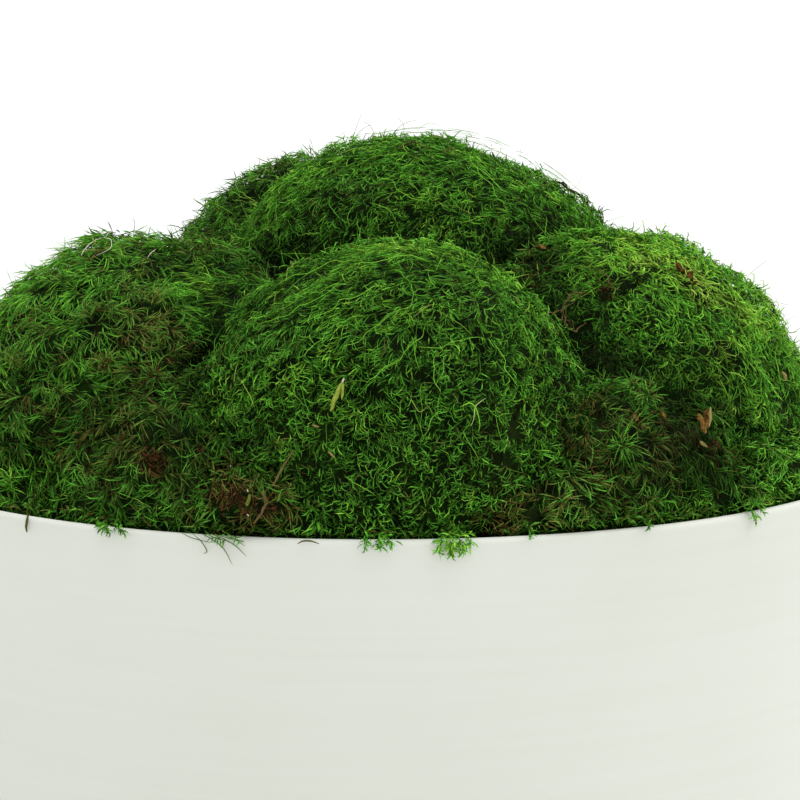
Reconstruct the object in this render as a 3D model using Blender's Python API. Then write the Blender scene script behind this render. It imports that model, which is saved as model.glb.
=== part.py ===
"""A round bowl filled with mounds of moss.

The turned bowl holds a block of dry floral foam that ends just below its rim. Six round mounds of
moss stand on the foam, with five low tufts between them and small tufts tucked in along the rim.
All are pressed against each other like soap bubbles. Each one is a solid of its own, and its open
side is raised into pointed tips by a formula.
"""
import math
from collections import namedtuple

import bmesh
import bpy
import numpy as np
from mathutils import Matrix, Vector, noise

MM = 0.001

# The bowl: a flat base, a bellied lower wall and an almost upright upper wall.
HEIGHT = 190 * MM
RIM_RADIUS = 205 * MM
WALL = 5 * MM
FLOOR = 7 * MM
BASE_RADIUS = 100 * MM
BELLY_HEIGHT = 110 * MM
FLARE = 3 * MM
SEGMENTS = 64
BELLY_STEPS = 8
UPPER_STEPS = 3
LIP_STEPS = 4

# The foam stops this far below the rim. Pieces that touch are modelled a small gap apart.
FOAM_DROP = 12 * MM
GAP = 0.3 * MM

# The moss. A tip stands up by a share of the tuft's height between these two, and a hollow lies
# below the mound's surface by a share of it. Points are moved at random by a share of the spacing.
# The net of points goes on round a mound's corners by SKIRT spacings, and is COARSE times wider on
# its pressed sides.
TIP_SHARES = (0.60, 1.15)
HOLLOW_SHARE = 0.45
JITTER_SHARE = 0.10
SKIRT = 1.3
COARSE = 3.4

# Slow swells of the surface: their height, and how many there are to a ball's radius.
SWELL = 5 * MM
SWELL_SCALE = 1.6

# A tip leans by this much downhill and this much at random, before it is held to its mound's lean.
DOWNHILL = 0.6
AT_RANDOM = 0.6
LEAST_LEAN = 0.5

# Near the foam a mound's foot spreads outwards.
FOOT_SPREAD = 12 * MM
FOOT_HEIGHT = 28 * MM

# The centres of the small tufts along the rim lie this far below it, in mm.
RIM_TUFT_DEPTH = 8
RIM_TUFT_SPACING = 10
RIM_TUFT_HEIGHT = 8
RIM_TUFT_LEAN = 0.40

# A face narrower than this counts as folded, and smooth shading stops at this angle.
LEAST_TURN = 1e-5
LEAST_VOLUME = 1e-11
SHARP_ANGLE = math.radians(40)
HEXAGON_SHARE = math.sqrt(3) / 2

Mound = namedtuple("Mound", "name centre radius spacing tuft lean material seed")


def above_rim(x, y, h):
    """A point given in millimetres, with its height measured from the rim."""
    return Vector((x * MM, y * MM, HEIGHT + h * MM))


def beside_rim(name, angle, inset, radius, seed):
    """A small tuft at this angle round the bowl, its centre this far in from the rim (mm)."""
    reach = RIM_RADIUS / MM - inset
    turn = math.radians(angle)
    centre = above_rim(reach * math.cos(turn), reach * math.sin(turn), -RIM_TUFT_DEPTH)
    spacing, tuft = RIM_TUFT_SPACING * MM, RIM_TUFT_HEIGHT * MM
    return Mound(name, centre, radius * MM, spacing, tuft, RIM_TUFT_LEAN, "moss_deep", seed)


# Centre (mm, from the rim's middle), radius, distance between tips, their height, how far
# the tips lean over as a share of that distance, material and seed.
MOUNDS = [
    Mound("moss_mound_centre", above_rim(19, 20, 36), 86 * MM, 11.6 * MM, 7 * MM, 0.35, "moss_mid", 1),
    Mound("moss_mound_front", above_rim(6, -120, 20), 72 * MM, 10.6 * MM, 7 * MM, 0.35, "moss_mid", 2),
    Mound("moss_mound_left", above_rim(-86, -45, 0), 85 * MM, 12.4 * MM, 9 * MM, 0.45, "moss_deep", 3),
    Mound("moss_mound_right", above_rim(87, -45, 0), 87 * MM, 11.6 * MM, 7 * MM, 0.35, "moss_bright", 4),
    Mound("moss_mound_back_left", above_rim(-15, 96, 30), 77 * MM, 12.8 * MM, 10 * MM, 0.45, "moss_deep", 5),
    Mound("moss_mound_back_right", above_rim(84, 76, -6), 84 * MM, 12.8 * MM, 8 * MM, 0.35, "moss_mid", 6),
    Mound("moss_tuft_front_left", above_rim(-68, -128, -8), 49 * MM, 12.0 * MM, 9 * MM, 0.45, "moss_deep", 7),
    Mound("moss_tuft_front_right", above_rim(86, -126, -2), 47 * MM, 12.0 * MM, 9 * MM, 0.45, "moss_deep", 8),
    Mound("moss_tuft_left", above_rim(-128, 62, -5), 56 * MM, 13.0 * MM, 9 * MM, 0.45, "moss_deep", 9),
    Mound("moss_tuft_right", above_rim(151, 34, -8), 44 * MM, 13.0 * MM, 9 * MM, 0.45, "moss_deep", 10),
    Mound("moss_tuft_back", above_rim(30, 150, -8), 46 * MM, 13.0 * MM, 9 * MM, 0.45, "moss_deep", 11),
    beside_rim("moss_rim_back_right", 62, 19, 26, 12),
    beside_rim("moss_rim_back", 104, 21, 28, 13),
    beside_rim("moss_rim_back_left", 129, 33, 36, 14),
    beside_rim("moss_rim_left", 180, 29, 34, 15),
    beside_rim("moss_rim_left_front", 216, 22, 33, 16),
    beside_rim("moss_rim_front_left", 257, 23, 26, 17),
    beside_rim("moss_rim_front_right", 290, 23, 26, 18),
    beside_rim("moss_rim_right_front", 322, 20, 25, 19),
    beside_rim("moss_rim_right", 352, 26, 29, 20),
]

# Colour (linear), roughness and metallic value.
FINISHES = {
    "bowl_glaze": ((0.74, 0.76, 0.68), 0.45, 0.0),
    "foam": ((0.05, 0.06, 0.03), 0.95, 0.0),
    "moss_mid": ((0.028, 0.075, 0.012), 0.85, 0.0),
    "moss_deep": ((0.022, 0.052, 0.012), 0.85, 0.0),
    "moss_bright": ((0.045, 0.100, 0.016), 0.85, 0.0),
}


def clear_scene():
    for ob in list(bpy.data.objects):
        bpy.data.objects.remove(ob, do_unlink=True)


def make_materials():
    """One Principled material for each finish."""
    made = {}
    for name, (colour, roughness, metallic) in FINISHES.items():
        material = bpy.data.materials.new(name)
        material.use_nodes = True
        shader = material.node_tree.nodes["Principled BSDF"]
        shader.inputs["Base Color"].default_value = (*colour, 1.0)
        shader.inputs["Roughness"].default_value = roughness
        shader.inputs["Metallic"].default_value = metallic
        material.diffuse_color = (*colour, 1.0)
        made[name] = material
    return made


def add_object(name, mesh, material):
    mesh.materials.append(material)
    ob = bpy.data.objects.new(name, mesh)
    bpy.context.scene.collection.objects.link(ob)
    return ob


def wall_line(radius_in, floor_up):
    """Radius and height along the bowl's side, moved in and up: a quarter ellipse, then a flare.

    The ellipse is level where it leaves the flat base and upright where the flare takes over.
    The flare grows with the square of the height, so the two meet without a corner.
    """
    upright = RIM_RADIUS - FLARE - radius_in
    points = []
    for i in range(BELLY_STEPS + 1):
        turn = math.pi / 2 * i / BELLY_STEPS
        r = BASE_RADIUS + (upright - BASE_RADIUS) * math.sin(turn)
        z = floor_up + (BELLY_HEIGHT - floor_up) * (1 - math.cos(turn))
        points.append((r, z))
    return points, upright


def flare_line(upright, top):
    """The almost upright part of the side, from the belly up to the height top."""
    points = []
    for i in range(1, UPPER_STEPS + 1):
        share = i / UPPER_STEPS
        z = BELLY_HEIGHT + (top - BELLY_HEIGHT) * share
        rise = (z - BELLY_HEIGHT) / (HEIGHT - BELLY_HEIGHT)
        points.append((upright + FLARE * rise**2, z))
    return points


def side_profile(radius_in, floor_up, top):
    belly, upright = wall_line(radius_in, floor_up)
    return belly + flare_line(upright, top)


def bowl_profile():
    """Up the outside, over a half-round lip and down the inside, from axis to axis."""
    lip = WALL / 2
    outer = side_profile(0.0, 0.0, HEIGHT - lip)
    inner = side_profile(WALL, FLOOR, HEIGHT - lip)
    middle = (outer[-1][0] + inner[-1][0]) / 2
    half = (outer[-1][0] - inner[-1][0]) / 2
    turns = [math.pi * i / LIP_STEPS for i in range(1, LIP_STEPS)]
    over = [(middle + half * math.cos(a), HEIGHT - lip + lip * math.sin(a)) for a in turns]
    return [(0.0, 0.0)] + outer + over + inner[::-1] + [(0.0, FLOOR)]


def foam_profile():
    """The inside of the bowl less the gap, up to a flat top, from axis to axis."""
    side = side_profile(WALL + GAP, FLOOR + GAP, HEIGHT - FOAM_DROP)
    return [(0.0, FLOOR + GAP)] + side + [(0.0, HEIGHT - FOAM_DROP)]


def turned_mesh(name, profile):
    """Spins a profile once round the upright axis and closes it."""
    bm = bmesh.new()
    verts = [bm.verts.new((r, 0.0, z)) for r, z in profile]
    edges = [bm.edges.new(pair) for pair in zip(verts, verts[1:])]
    bmesh.ops.spin(
        bm, geom=verts + edges, cent=(0, 0, 0), axis=(0, 0, 1),
        angle=2 * math.pi, steps=SEGMENTS, use_merge=True,
    )
    bmesh.ops.remove_doubles(bm, verts=bm.verts, dist=0.01 * MM)
    bmesh.ops.recalc_face_normals(bm, faces=bm.faces)
    mesh = bpy.data.meshes.new(name)
    bm.to_mesh(mesh)
    bm.free()
    mesh.shade_smooth()
    mesh.set_sharp_from_angle(angle=SHARP_ANGLE)
    return mesh


def even_directions(spacing, radius, rng):
    """Directions spread evenly over a ball by the golden angle, the given distance apart.

    Their number is the ball's area over the area of a hexagon whose neighbours lie that far off.
    """
    count = int(4 * math.pi * radius**2 / (HEXAGON_SHARE * spacing**2))
    i = np.arange(count) + 0.5
    z = 1 - 2 * i / count
    turn = i * math.pi * (3 - math.sqrt(5))
    flat = np.sqrt(1 - z * z)
    points = np.stack([flat * np.cos(turn), flat * np.sin(turn), z], 1)
    tilt = Matrix.Rotation(rng.uniform(0, math.pi), 3, Vector(rng.normal(size=3)))
    points = points @ np.array(tilt).T
    points += rng.normal(size=points.shape) * JITTER_SHARE * spacing / radius
    return points / np.linalg.norm(points, axis=1, keepdims=True)


def plane_reach(directions, normal, distance):
    """How far each direction runs before it meets the plane at this distance along normal."""
    along = directions @ normal
    return np.where(along > 1e-6, distance / np.maximum(along, 1e-6), np.inf)


def free_reach(mound, directions):
    """How far each direction may run from the mound's centre, as the nearest of its limits.

    Towards each neighbour the limit is the plane in which the two balls cross, less half the
    gap. Below it is the foam's top, and outwards it is the inside of the bowl, as an upright
    cylinder just inside the bowl's facets.
    """
    foot = HEIGHT - FOAM_DROP + GAP
    reach = plane_reach(directions, np.array((0, 0, -1.0)), mound.centre.z - foot)
    for other in MOUNDS:
        if other.name == mound.name:
            continue
        across = other.centre - mound.centre
        apart = across.length
        crossing = apart / 2 + (mound.radius**2 - other.radius**2) / (2 * apart)
        reach = np.minimum(reach, plane_reach(directions, np.array(across / apart), crossing - GAP / 2))
    narrowest = (RIM_RADIUS - FLARE / 2 - WALL) * math.cos(math.pi / SEGMENTS) - GAP
    cx, cy = mound.centre.x, mound.centre.y
    dx, dy = directions[:, 0], directions[:, 1]
    a = np.maximum(dx * dx + dy * dy, 1e-9)
    b = cx * dx + cy * dy
    c = cx * cx + cy * cy - narrowest**2
    return np.minimum(reach, (-b + np.sqrt(b * b - a * c)) / a)


def swell(mound, directions):
    """Slow swells of a real cushion of moss, by smooth noise on the ball."""
    offset = Vector((mound.seed, 0, mound.seed)) * math.pi
    values = [noise.noise(Vector(d) * SWELL_SCALE + offset) for d in directions]
    return SWELL * np.array(values)


def open_radius(mound, directions):
    """The mound's radius with its swells, and with its foot spread near the foam.

    The spread grows with the square of how far a direction ends inside the foot's height.
    """
    ends = mound.centre.z + mound.radius * directions[:, 2] - (HEIGHT - FOAM_DROP)
    inside = np.clip(1 - ends / FOOT_HEIGHT, 0, 1)
    return mound.radius + swell(mound, directions) + FOOT_SPREAD * inside**2


def tuft_layout(mound, rng):
    """Directions of the mound's points, and which of them are tufts in the open.

    Tufts are evenly spaced where the ball is in the open. A skirt of points goes on round the
    corner, and only a coarse net covers the pressed sides and the foot.
    """
    fine = even_directions(mound.spacing, mound.radius, rng)
    open_fine = free_reach(mound, fine) > open_radius(mound, fine)
    tufts = fine[open_fine]
    nearest = (fine @ tufts.T).max(1)
    skirt = fine[~open_fine & (nearest > math.cos(SKIRT * mound.spacing / mound.radius))]
    coarse = even_directions(COARSE * mound.spacing, mound.radius, rng)
    near = (coarse @ np.concatenate([tufts, skirt]).T).max(1)
    coarse = coarse[near < math.cos((COARSE - 0.3) * mound.spacing / mound.radius)]
    points = np.concatenate([tufts, skirt, coarse])
    return points, np.arange(len(points)) < len(tufts)


def hull_triangles(directions):
    """The even net of triangles over points on a ball, which is their convex hull."""
    bm = bmesh.new()
    for i, d in enumerate(directions):
        bm.verts.new(d).index = i
    bmesh.ops.convex_hull(bm, input=bm.verts)
    bmesh.ops.triangulate(bm, faces=bm.faces)
    triangles = np.array([[v.index for v in face.verts] for face in bm.faces])
    bm.free()
    a, b, c = directions[triangles].transpose(1, 0, 2)
    inward = (np.cross(b - a, c - a) * a).sum(1) < 0
    triangles[inward] = triangles[inward][:, ::-1]
    return triangles


def signed(points, a, b, c):
    """Positive where a triangle faces away from the centre."""
    return float(np.dot(np.cross(points[a], points[b]), points[c]))


def tufted_net(directions, tufted):
    """Adds a hollow in each triangle that has a tuft, and joins the hollows round each tuft.

    The edge between two tufts is turned to run between the two hollows beside it, so each tuft
    becomes a pointed tip on a ring of hollows. An edge that can't turn is kept.
    """
    triangles = hull_triangles(directions)
    has_hollow = tufted[triangles].any(1)
    middles = directions[triangles[has_hollow]].sum(1)
    middles /= np.linalg.norm(middles, axis=1, keepdims=True)
    points = np.concatenate([directions, middles])
    hollow = np.full(len(triangles), -1)
    hollow[has_hollow] = len(directions) + np.arange(len(middles))
    faces = [tuple(t) for t in triangles[~has_hollow]]
    beside = {}
    for t, corners in enumerate(triangles):
        for k in range(3):
            beside[(corners[k], corners[(k + 1) % 3])] = hollow[t]
    for (a, b), left in beside.items():
        right = beside[(b, a)]
        if left < 0 or (a > b and right >= 0):
            continue
        if right < 0:
            faces.append((a, b, left))
        elif min(signed(points, a, right, left), signed(points, b, left, right)) > LEAST_TURN:
            faces += [(a, right, left), (b, left, right)]
        else:
            faces += [(a, b, left), (b, a, right)]
    return points, np.array(faces)


def leaning_tips(mound, points, directions, faces, tips, rng):
    """Leans each tip downhill and a little at random, but never so far that faces fold over."""
    out = directions[tips]
    way = rng.normal(size=out.shape) * AT_RANDOM - (0, 0, DOWNHILL)
    way -= out * (way * out).sum(1, keepdims=True)
    length = np.linalg.norm(way, axis=1, keepdims=True)
    way *= mound.lean * mound.spacing / np.maximum(length, LEAST_LEAN)
    lean = np.zeros_like(points)
    lean[tips] = way
    for _ in range(8):
        moved = points + lean
        length = np.linalg.norm(moved, axis=1)
        ahead = free_reach(mound, moved / length[:, None])
        moved *= np.minimum(1, ahead / length)[:, None]
        a, b, c = moved[faces.T]
        folded = (np.cross(a, b) * c).sum(1) < LEAST_VOLUME
        if not folded.any():
            return moved
        lean[np.unique(faces[folded])] *= 0.4
    return points


def moss_mesh(mound):
    """A ball pressed flat against its neighbours, with its open side raised into tufts.

    Along each direction the surface lies at the ball's radius plus the tuft's height at a tip,
    less a share of it in a hollow, and never past the nearest limit.
    """
    rng = np.random.default_rng(mound.seed)
    layout, tufted = tuft_layout(mound, rng)
    directions, faces = tufted_net(layout, tufted)
    height = np.full(len(directions), -HOLLOW_SHARE * mound.tuft)
    tips = np.flatnonzero(tufted)
    height[: len(layout)] = 0.0
    height[tips] = mound.tuft * rng.uniform(*TIP_SHARES, len(tips))
    wanted = open_radius(mound, directions) + height
    distance = np.minimum(wanted, free_reach(mound, directions))
    points = directions * distance[:, None]
    points = leaning_tips(mound, points, directions, faces, tips, rng)
    mesh = bpy.data.meshes.new(mound.name)
    mesh.from_pydata((points + np.array(mound.centre)).tolist(), [], faces.tolist())
    mesh.validate()
    return mesh


def main():
    clear_scene()
    materials = make_materials()
    add_object("bowl", turned_mesh("bowl", bowl_profile()), materials["bowl_glaze"])
    add_object("floral_foam", turned_mesh("floral_foam", foam_profile()), materials["foam"])
    for mound in MOUNDS:
        add_object(mound.name, moss_mesh(mound), materials[mound.material])


main()
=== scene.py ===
# %% [markdown]
# # A bowl garden of moss mounds
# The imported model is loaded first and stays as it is: it fixes where every piece lies. The cells
# below build the fine surfaces around it: the turned bowl, the foam, and the moss, leaf by leaf.

# %% Load the frame
import math
from collections import namedtuple

import bpy
import numpy as np
from mathutils import Matrix, Vector


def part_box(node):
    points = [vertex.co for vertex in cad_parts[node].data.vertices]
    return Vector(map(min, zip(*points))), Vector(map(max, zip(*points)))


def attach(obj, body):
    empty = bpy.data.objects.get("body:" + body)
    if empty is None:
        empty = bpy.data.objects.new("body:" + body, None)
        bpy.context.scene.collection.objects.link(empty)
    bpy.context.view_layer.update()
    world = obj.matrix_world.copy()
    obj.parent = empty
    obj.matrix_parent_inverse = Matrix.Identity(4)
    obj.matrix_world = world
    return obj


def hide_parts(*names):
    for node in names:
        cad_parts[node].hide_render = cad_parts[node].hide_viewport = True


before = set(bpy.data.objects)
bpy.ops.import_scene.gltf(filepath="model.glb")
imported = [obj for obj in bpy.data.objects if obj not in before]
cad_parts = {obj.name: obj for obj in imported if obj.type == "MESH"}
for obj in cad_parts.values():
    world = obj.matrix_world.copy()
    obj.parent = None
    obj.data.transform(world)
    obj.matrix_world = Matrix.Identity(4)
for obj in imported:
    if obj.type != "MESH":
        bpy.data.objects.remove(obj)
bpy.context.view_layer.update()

MM = 0.001
SCENE = bpy.context.scene
bowl_low, bowl_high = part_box("bowl")
RIM_RADIUS = (bowl_high.x - bowl_low.x) / 2
HEIGHT = bowl_high.z
print(f"rim radius {RIM_RADIUS / MM:.1f} mm, bowl height {HEIGHT / MM:.1f} mm")

# %% [markdown]
# ## Camera
# The camera stands a little above the rim, with a long lens, as in a studio. Its place follows
# from the bowl's own size and from the pixel at which the rim's centre lies.

# %% Camera
RIM_CENTRE = Vector((0, 0, HEIGHT))
CAMERA_DISTANCE = 1.435
CAMERA_ELEVATION = math.radians(9.5)
FRAME_PIXELS, FOCAL_PIXELS = 800, 3501
RIM_CENTRE_PIXEL = (377, 445)
SENSOR = 36.0


def add_camera():
    """The lens is the focal length in pixels, turned into the sensor's width. The shift puts the
    rim's centre on its own pixel."""
    data = bpy.data.cameras.new("camera")
    data.sensor_width = SENSOR
    data.lens = FOCAL_PIXELS * SENSOR / FRAME_PIXELS
    data.shift_x = (FRAME_PIXELS / 2 - RIM_CENTRE_PIXEL[0]) / FRAME_PIXELS
    data.shift_y = (RIM_CENTRE_PIXEL[1] - FRAME_PIXELS / 2) / FRAME_PIXELS
    ob = bpy.data.objects.new("camera", data)
    back = Vector((0, -math.cos(CAMERA_ELEVATION), math.sin(CAMERA_ELEVATION)))
    ob.location = RIM_CENTRE + back * CAMERA_DISTANCE
    ob.rotation_euler = (math.pi / 2 - CAMERA_ELEVATION, 0, 0)
    SCENE.collection.objects.link(ob)
    SCENE.camera = ob
    return ob


camera = add_camera()
print(f"camera at {tuple(round(x, 3) for x in camera.location)}, lens {camera.data.lens:.1f} mm")

# %% [markdown]
# ## Two helpers
# A finish is a graph of shader nodes. Written as sums and products of sockets it reads like the
# formula that it is. A mesh is made from whole arrays of points and triangles, which takes far
# less time than a call for each point.

# %% Shader helper
CHART = "OFBake"


class Socket:
    """A shader socket that takes part in sums and products. Each operation adds a Math node, and
    swapped puts the other value first."""

    def __init__(self, tree, socket):
        self.tree, self.socket = tree, socket

    def math(self, operation, other=0.0, swapped=False):
        """The socket of a Math node that works on this value and the other."""
        pair = (other, self) if swapped else (self, other)
        return self.tree.node("ShaderNodeMath", {"operation": operation}, dict(enumerate(pair)))


def operator(operation, swapped):
    """What Python calls for a sign between a socket and a number, or for the same swapped."""
    return lambda socket, other: socket.math(operation, other, swapped)


SIGNS = {"add": "ADD", "sub": "SUBTRACT", "mul": "MULTIPLY", "pow": "POWER"}
for sign, operation in SIGNS.items():
    setattr(Socket, f"__{sign}__", operator(operation, False))
    setattr(Socket, f"__r{sign}__", operator(operation, True))


class Finish:
    """A Principled material whose nodes are added by one method."""

    def __init__(self, name, **values):
        self.material = bpy.data.materials.new(name)
        self.material.use_nodes = True
        self.nodes = self.material.node_tree.nodes
        self.links = self.material.node_tree.links
        self.shader = self.nodes["Principled BSDF"]
        for key, value in values.items():
            self.set(key.replace("_", " ").title(), value)

    def set(self, name, value):
        """Gives the shader's socket of this name a value or a link."""
        self.feed(self.shader.inputs[name], value)

    def feed(self, place, value):
        """Links a socket to the place, or writes a plain value there."""
        if isinstance(value, Socket):
            self.links.new(value.socket, place)
        else:
            place.default_value = value

    def node(self, kind, settings=None, inputs=None, output=0):
        """Adds a node: its settings or a ramp's stops first, then its sockets' values or links."""
        made = self.nodes.new(kind)
        for key, value in (settings or {}).items():
            if key == "stops":
                self.set_stops(made.color_ramp, value)
            else:
                setattr(made, key, value)
        for key, value in (inputs or {}).items():
            self.feed(made.inputs[key], value)
        return Socket(self, made.outputs[output])

    def set_stops(self, ramp, stops):
        """Gives a ramp its colours, each at its own share of the way."""
        while len(ramp.elements) < len(stops):
            ramp.elements.new(0.5)
        for element, (place, colour) in zip(ramp.elements, stops):
            element.position = place
            element.color = (*colour, 1.0)

    def mix(self, share, first, second, blend="MIX"):
        """A colour between two colours, or their product."""
        settings = {"data_type": "RGBA", "blend_type": blend}
        return self.node("ShaderNodeMix", settings, {0: share, 6: first, 7: second}, output=2)

    def ramp(self, share, stops):
        """The colour that the stops have at this share of the way."""
        return self.node("ShaderNodeValToRGB", {"stops": stops}, {0: share})

    def noise(self, place, scale, detail):
        """Soft random values around 0.5, with as many blotches along a unit of the place as the
        scale says."""
        inputs = {"Vector": place, "Scale": scale, "Detail": detail}
        return self.node("ShaderNodeTexNoise", {}, inputs)

    def stretched(self, place, scale):
        """A place times its own scale along each axis."""
        return self.node("ShaderNodeMapping", {}, {0: place, 3: scale})

    def raise_by(self, height, distance, strength=1.0):
        """Bump: slants the normal as if the surface stood out by the height times the distance."""
        inputs = {"Strength": strength, "Distance": distance, "Height": height}
        self.set("Normal", self.node("ShaderNodeBump", {}, inputs))

    def on_piece(self):
        """The place in the piece, in metres."""
        return self.node("ShaderNodeTexCoord", output=3)

    def on_map(self):
        """The place on the piece's own map."""
        return self.node("ShaderNodeUVMap", {"uv_map": CHART})

    def across_and_up(self, place):
        """How far across and how far up a place on the map lies."""
        split = self.node("ShaderNodeSeparateXYZ", {}, {0: place})
        return split, Socket(self, split.socket.node.outputs[1])


def linear(red, green, blue):
    """An sRGB colour of 0 to 255 as the linear numbers that the shader takes. These constants are
    the sRGB standard's own."""
    values = (x / 255 for x in (red, green, blue))
    return tuple(x / 12.92 if x <= 0.04045 else ((x + 0.055) / 1.055) ** 2.4 for x in values)


def paint(colour):
    """The same with the fourth number, opaque, which a Mix node's colour needs."""
    return (*linear(*colour), 1)


print("shader helper ready")

# %% Mesh helper
def triangle_mesh(name, points, triangles, smooth=True):
    """An object from an array of points and an array of triangles, set in whole arrays."""
    mesh = bpy.data.meshes.new(name)
    mesh.vertices.add(len(points))
    mesh.vertices.foreach_set("co", np.asarray(points, np.float32).ravel())
    mesh.loops.add(triangles.size)
    mesh.loops.foreach_set("vertex_index", triangles.ravel().astype(np.int32))
    mesh.polygons.add(len(triangles))
    mesh.polygons.foreach_set("loop_start", np.arange(0, triangles.size, 3, dtype=np.int32))
    mesh.polygons.foreach_set("use_smooth", np.full(len(triangles), smooth))
    mesh.update(calc_edges=True)
    ob = bpy.data.objects.new(name, mesh)
    SCENE.collection.objects.link(ob)
    return ob


def add_map(ob, places):
    """A UV map from one place per vertex."""
    mesh = ob.data
    index = np.empty(len(mesh.loops), np.int32)
    mesh.loops.foreach_get("vertex_index", index)
    layer = mesh.uv_layers.new(name=CHART)
    layer.uv.foreach_set("vector", np.asarray(places, np.float32)[index].ravel())


def finish_piece(ob, finish, nodes=()):
    """Dresses a piece, lets it ride on the bowl and stand for its CAD nodes."""
    ob.data.materials.append(finish.material)
    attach(ob, "root")
    if nodes:
        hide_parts(*nodes)


def ring_grid(rings, around):
    """The corners of every quad between closed rings of points, as four lists of numbers: two
    neighbours on a ring, then the two on the next ring."""
    i, j = np.meshgrid(np.arange(rings - 1), np.arange(around), indexing="ij")
    a, b = (i * around + j).ravel(), (i * around + (j + 1) % around).ravel()
    return a, b, a + around, b + around


def bands(a, b, c, d):
    """Two triangles for each quad of a grid. The corners a and b lie side by side, with c and d
    past them."""
    return [np.stack([a, b, d], 1), np.stack([a, d, c], 1)]


def fan(centre, first, second):
    """A triangle from one centre to each pair of neighbours on a ring."""
    return np.stack([np.full(len(first), centre), first, second], 1)


def repeated(one, count, points_each):
    """The triangles of one small shape, again for each of many that lie one after the other."""
    starts = np.arange(count) * points_each
    return (np.array(one)[None] + starts[:, None, None]).reshape(-1, 3)


def column(rows, number):
    """One column of a table."""
    return np.array([row[number] for row in rows])


print("mesh helper ready")

# %% [markdown]
# ## Studio
# A plain pale floor and white light from all round show the colours as they are. One wide light
# overhead, from the right and the back, gives each mound its bright crown and its dark foot.

# %% Floor and light
FLOOR_SIZE, FLOOR_GREY = 30.0, 0.93
ROOM = 0.62
SUN_STRENGTH = 1.95
SUN_WIDTH = math.radians(75)
SUN_FROM = (0.28, 0.20, 1.0)


def add_floor():
    """A plain pale floor, far larger than the view."""
    half = FLOOR_SIZE / 2
    corners = np.array([(-half, -half, 0), (half, -half, 0), (half, half, 0), (-half, half, 0)])
    floor = triangle_mesh("floor", corners, np.array([(0, 1, 2), (0, 2, 3)]), smooth=False)
    grey = Finish("floor_paint", base_color=(FLOOR_GREY, FLOOR_GREY, FLOOR_GREY, 1), roughness=0.9)
    floor.data.materials.append(grey.material)


def add_top_light():
    """A sun as wide as a studio ceiling: its light comes from a large round patch overhead."""
    data = bpy.data.lights.new("top_light", "SUN")
    data.energy = SUN_STRENGTH
    data.angle = SUN_WIDTH
    ob = bpy.data.objects.new("top_light", data)
    ob.rotation_euler = Vector(SUN_FROM).to_track_quat("Z", "Y").to_euler()
    SCENE.collection.objects.link(ob)


def light_room():
    """Even white light from all round, and the top light."""
    world = bpy.data.worlds.new("room")
    world.use_nodes = True
    sky = world.node_tree.nodes["Background"]
    sky.inputs["Color"].default_value = (1, 1, 1, 1)
    sky.inputs["Strength"].default_value = ROOM
    SCENE.world = world
    SCENE.view_settings.view_transform = "Standard"
    add_top_light()


add_floor()
light_room()
print(f"floor of {FLOOR_SIZE:.0f} m, room light {ROOM}, top light {SUN_STRENGTH}")

# %% [markdown]
# ## The bowl
# A thin-walled round bowl is a profile turned round an axis. The profile is a quarter ellipse from
# the flat base, an almost upright wall that flares a little, a half-round lip, and the same line
# inside. Turned in many steps it is smooth at the rim, where the CAD solid shows its flats.

# %% Bowl
WALL = 5 * MM
FLOOR_THICKNESS = 7 * MM
BASE_RADIUS = 100 * MM
BELLY_HEIGHT = 110 * MM
FLARE = 3 * MM
AROUND = 160
BASE_STEPS, BELLY_STEPS, WALL_STEPS, LIP_STEPS = 6, 20, 8, 8


def side_line(moved_in, moved_up):
    """Radius and height up the bowl's side: a quarter ellipse, then a flare that grows with the
    square of the height."""
    upright = RIM_RADIUS - FLARE - moved_in
    turn = np.linspace(0, math.pi / 2, BELLY_STEPS)
    belly_r = BASE_RADIUS + (upright - BASE_RADIUS) * np.sin(turn)
    belly_z = moved_up + (BELLY_HEIGHT - moved_up) * (1 - np.cos(turn))
    rise = np.linspace(0, 1, WALL_STEPS + 1)[1:]
    top = HEIGHT - WALL / 2
    wall_z = BELLY_HEIGHT + (top - BELLY_HEIGHT) * rise
    wall_r = upright + FLARE * ((wall_z - BELLY_HEIGHT) / (HEIGHT - BELLY_HEIGHT)) ** 2
    return np.concatenate([belly_r, wall_r]), np.concatenate([belly_z, wall_z])


def bowl_line():
    """The whole profile from the axis below to the axis inside, with a half-round lip."""
    outer_r, outer_z = side_line(0, 0)
    inner_r, inner_z = side_line(WALL, FLOOR_THICKNESS)
    turn = np.linspace(0, math.pi, LIP_STEPS + 2)[1:-1]
    middle, half = (outer_r[-1] + inner_r[-1]) / 2, (outer_r[-1] - inner_r[-1]) / 2
    lip_r, lip_z = middle + half * np.cos(turn), HEIGHT - WALL / 2 * (1 - np.sin(turn))
    base = np.linspace(0, BASE_RADIUS, BASE_STEPS)[1:-1]
    r = np.concatenate([base, outer_r, lip_r, inner_r[::-1], base[::-1]])
    z = np.concatenate([base * 0, outer_z, lip_z, inner_z[::-1], base * 0 + FLOOR_THICKNESS])
    return r, z


def turned(name, r, z):
    """A profile turned round the upright axis. Each ring is joined to the next, and both ends are
    closed by a fan at the axis."""
    turn = np.linspace(0, 2 * math.pi, AROUND, endpoint=False)
    height = np.repeat(z[:, None], AROUND, 1)
    rings = np.stack([r[:, None] * np.cos(turn), r[:, None] * np.sin(turn), height], 2)
    points = np.concatenate([rings.reshape(-1, 3), [(0, 0, z[0]), (0, 0, z[-1])]])
    poles = len(points) - 2
    first, last = np.arange(AROUND), poles - AROUND + np.arange(AROUND)
    closed = [fan(poles, np.roll(first, -1), first), fan(poles + 1, last, np.roll(last, -1))]
    sides = bands(*ring_grid(len(r), AROUND))
    return triangle_mesh(name, points, np.concatenate([*sides, *closed]))


bowl = turned("white_bowl", *bowl_line())
print(f"bowl: {len(bowl.data.polygons)} triangles")


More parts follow.
